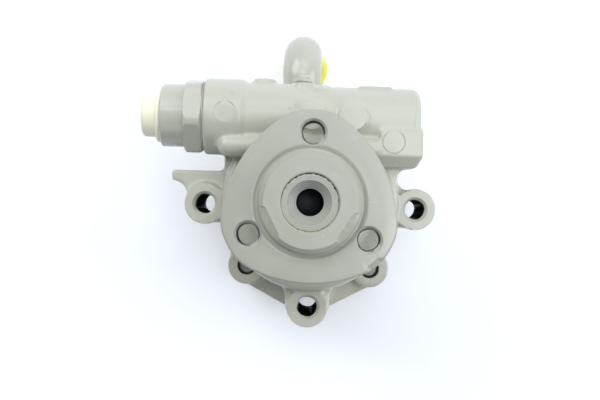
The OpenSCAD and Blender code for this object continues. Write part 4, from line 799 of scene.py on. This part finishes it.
def pipe_net():
    """Profile carried along the pipe's centre line: outside up to the rim, over it and back down the bore."""
    low, high = SOCKET_Y + SEAT_GAP - BEND_START_Y, BEND_R * BEND_ANGLE + PIPE_TAIL
    s = np.arange(low, high - 0.4, 0.35)
    bulge = BEND_STEP * np.clip(np.minimum(s + 1, BEND_R * BEND_ANGLE + 1 - s) / 2, 0, 1)
    rim = np.linspace(0, math.pi, 7)
    wall = (PIPE_R - PIPE_BORE_R) / 2
    line = np.concatenate([np.stack([s, PIPE_R + bulge], 1),
                           np.stack([high - 0.4 + 0.4 * np.sin(rim), PIPE_R - wall + wall * np.cos(rim)], 1),
                           np.stack([s, PIPE_BORE_R + bulge], 1)[::-1]])
    point, _, across, other = pipe_frame(line[:, 0])
    a = np.linspace(0, TURN, 96, endpoint=False)[:, None, None]
    return point + line[:, 1, None] * (np.cos(a) * across + np.sin(a) * other)


pipe = skin("suction_pipe_bent", pipe_net(), loop=True)
finished(dressed(pipe, smooth_paint), "body", "painted_steel", "suction_pipe")


def bracket_net():
    """Polar loft about the pipe: a ring, drawn out to a round-ended strip towards the clamp screw."""
    far, reach = math.hypot(TAB_SHIFT, TAB_REACH), math.atan2(-TAB_REACH, TAB_SHIFT)
    fine = np.linspace(-0.32, 0.32, 161)
    a = np.concatenate([fine, np.linspace(0.34, TURN - 0.34, 180)])
    across, ahead = np.abs(np.sin(a)), np.cos(a)
    end = far * ahead + np.sqrt(np.maximum(TAB_R ** 2 - (far * across) ** 2, 0))
    strip = np.where(far * across < TAB_R, end, 0)
    side = np.where(ahead > 0, TAB_R / np.maximum(across, 1e-6), 0)
    edge = np.maximum(BOSS_R - 0.4, np.where(side > far, strip, side))[:, None]
    low, high = SUCTION_TOP + SEAT_GAP, SUCTION_TOP + BRACKET_T
    rim = eased([(-1, low, 0), (0, low, 0.3), (0, high, 0.4), (-1, high, 0)])
    inner = (PIPE_R + SEAT_GAP) * np.ones_like(edge)
    radii = np.concatenate([inner, edge + rim[:, 0], inner], 1)
    return along_pipe(lofted(a + reach, radii, np.concatenate([[low], rim[:, 1], [high]])))


bracket = skin("pipe_clamp_plate", bracket_net(), loop=True)
finished(dressed(bracket, smooth_paint), "body", "painted_steel", "pipe_bracket")

head_y = SUCTION_TOP + BRACKET_T + SEAT_GAP
screw_line = eased([(0, head_y - SCREW_LEN, 0), (SCREW_R, head_y - SCREW_LEN, 0.2), (SCREW_R, head_y, 0),
                    (SCREW_HEAD_R, head_y, 0.1), (SCREW_HEAD_R - 0.3, head_y + SCREW_HEAD_H, 0.5),
                    (0, head_y + SCREW_HEAD_H, 0)])
screw = skin("clamp_screw", along_pipe(moved(turned(dense(screw_line, 0.3)), TAB_SHIFT, -TAB_REACH)))
finished(dressed(screw, smooth_paint), "body", "painted_steel", "bracket_screw")

cap_stem_r = PIPE_BORE_R - 2 * SEAT_GAP
cap_line = eased([(0, PIPE_TAIL, 0), (cap_stem_r - 1.6, PIPE_TAIL, 0.2),
                  (cap_stem_r - 1.6, PIPE_TAIL - CAP_STEM_LEN, 0.2),
                  (cap_stem_r, PIPE_TAIL - CAP_STEM_LEN, 0.3), (cap_stem_r, PIPE_TAIL + SEAT_GAP, 0.1),
                  (CAP_FLANGE_R, PIPE_TAIL + SEAT_GAP, 0.4), (CAP_FLANGE_R, PIPE_TAIL + CAP_FLANGE_T, 0.5),
                  (cap_stem_r, PIPE_TAIL + CAP_FLANGE_T, 0.3), (cap_stem_r, PIPE_TAIL + CAP_FLANGE_T + CAP_GRIP, 0.7),
                  (0, PIPE_TAIL + CAP_FLANGE_T + CAP_GRIP, 0)])
end, way, across, other = pipe_frame(np.array([BEND_R * BEND_ANGLE]))
cap_net = turned(dense(cap_line, 0.5))
cap_net = end + cap_net[..., 2:] * way + cap_net[..., :1] * across + cap_net[..., 1:2] * other
cap = skin("suction_shipping_cap", cap_net)
finished(dressed(cap, yellow_plastic), "body", "yellow_plastic", "suction_cap")

# Valve springs: a coil of round wire between the ends of each spring's part, on that part's body
FLOW_SPRING_R, FLOW_WIRE_R, FLOW_TURNS, SPOOL_TRAVEL = 4.6, 0.65, 7, 6.0
RELIEF_SPRING_R, RELIEF_WIRE_R, RELIEF_TURNS, RELIEF_TRAVEL = 1.7, 0.35, 6, 1.0


def coil_net(r, wire, x0, x1, turns):
    """Round wire carried along a helix about the valve's axis: at turn t its middle lies at angle 2 pi t, radius r
    and a distance from x0 that grows evenly; the wire shrinks to a point at both ends to close them."""
    t = np.concatenate([[0], np.linspace(0, turns, 32 * turns + 1), [turns]])
    thick = np.concatenate([[0], np.full(32 * turns + 1, wire), [0]])
    b = np.linspace(0, TURN, 12, endpoint=False)[:, None]
    reach, rise = r + thick * np.cos(b), (x1 - x0 - 2 * wire) / turns
    along = x0 + wire + rise * t + thick * np.sin(b)
    return along_valve(np.stack([reach * np.cos(TURN * t), reach * np.sin(TURN * t), along], -1))


for node, joint, body, r, wire, turns, travel, fixed in (
        ("flow_spring", "spool_slide", "body", FLOW_SPRING_R, FLOW_WIRE_R, FLOW_TURNS, SPOOL_TRAVEL, 1),
        ("relief_spring", "relief_lift", "spool", RELIEF_SPRING_R, RELIEF_WIRE_R, RELIEF_TURNS, RELIEF_TRAVEL, 0)):
    ends = [corner[0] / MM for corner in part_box(node)]
    spring = skin(node + "_coil", coil_net(r, wire, *ends, turns))
    finished(dressed(spring, bare_steel), body, "bare_steel", node, angle=60)
    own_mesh(spring)

# Floor: white paper that keeps the pump's soft bluish shadow, lifted towards white where it is seen
FLOOR_HALF, FLOOR_Z, FLOOR_LIFT = 3.0, REST_Z * MM, 0.25
floor_mesh = bpy.data.meshes.new("floor")
floor_mesh.from_pydata([(FLOOR_HALF * x, FLOOR_HALF * y, FLOOR_Z)
                        for x, y in ((-1, -1), (1, -1), (1, 1), (-1, 1))], [], [(0, 1, 2, 3)])
floor = bpy.data.objects.new("floor", floor_mesh)
scene.collection.objects.link(floor)
paper = new_finish("white_paper_floor")
sheet_shader = add(paper, "BsdfPrincipled", {"Base Color": linear("#f0f3f9"), "Roughness": 0.9,
                                             "Specular IOR Level": 0.1})
seen = add(paper, "LightPath")
seen_any = add(paper, "Math", {0: seen.outputs["Is Camera Ray"], 1: seen.outputs["Is Glossy Ray"]},
               operation="MAXIMUM")
seen_all = add(paper, "Math", {0: seen_any.outputs[0], 1: seen.outputs["Is Transmission Ray"]},
               operation="MAXIMUM")
lift = add(paper, "Emission", {"Color": linear("#ffffff"), "Strength": FLOOR_LIFT})
dark = add(paper, "Emission", {"Strength": 0.0})
lifted = add(paper, "MixShader", {0: seen_all.outputs[0], 1: dark.outputs[0], 2: lift.outputs[0]})
both = add(paper, "AddShader", {0: sheet_shader.outputs[0], 1: lifted.outputs[0]})
add(paper, "OutputMaterial", {"Surface": both.outputs[0]})
floor_mesh.materials.append(paper)

# Light: a dim surround that grows brighter towards the upper right, soft boxes behind, at both sides and in front,
# and three overhead for the highlights
BRIGHT_SIDE, SURROUND_LOW, SURROUND_HIGH = (0.55, 0.75, -0.35), 0.08, 0.8
world = bpy.data.worlds.new("studio")
scene.world = world
world.use_nodes = True
world.node_tree.nodes.clear()
facing = add(world, "VectorMath", {0: add(world, "TexCoord").outputs["Generated"], 1: BRIGHT_SIDE},
             operation="DOT_PRODUCT")
wall = add(world, "MapRange", {"Value": facing.outputs["Value"], "From Min": -0.8, "From Max": 0.8,
                               "To Min": SURROUND_LOW, "To Max": SURROUND_HIGH})
sky = add(world, "Background", {"Color": linear("#f1f5ff"), "Strength": wall.outputs["Result"]})
add(world, "OutputWorld", {"Surface": sky.outputs[0]})


def soft_box(name, place, target, width, height, radiance):
    """Rectangular area lamp aimed at a target; its power is pi times its area times its radiance."""
    lamp = bpy.data.lights.new(name, "AREA")
    lamp.shape, lamp.size, lamp.size_y = "RECTANGLE", width, height
    lamp.energy = math.pi * width * height * radiance
    lamp.color = linear("#f6faff")[:3]
    piece = bpy.data.objects.new(name, lamp)
    piece.location = place
    piece.rotation_euler = (Vector(target) - Vector(place)).to_track_quat("-Z", "Y").to_euler()
    scene.collection.objects.link(piece)


soft_box("window_box", (0.10, 0.45, 0.50), (0, 0, 0), 0.50, 0.25, 1.5)
soft_box("left_box", (-0.40, 0.35, 0.40), (0, 0, 0), 0.45, 0.35, 4.0)
soft_box("low_right_box", (0.60, 0.0, 0.25), (0, 0, 0), 0.45, 0.35, 3.4)
soft_box("strip_box", (-0.02, 0.22, 0.55), (-0.02, 0.22, 0), 0.50, 0.05, 6.0)
soft_box("front_box", (0.04, 0.11, 0.55), (0.04, 0.11, 0), 0.25, 0.20, 1.6)
soft_box("low_front_box", (0.05, -0.45, 0.40), (0, 0, 0), 0.45, 0.30, 0.9)
soft_box("right_box", (0.13, -0.02, 0.55), (0.13, -0.02, 0), 0.12, 0.13, 7.5)
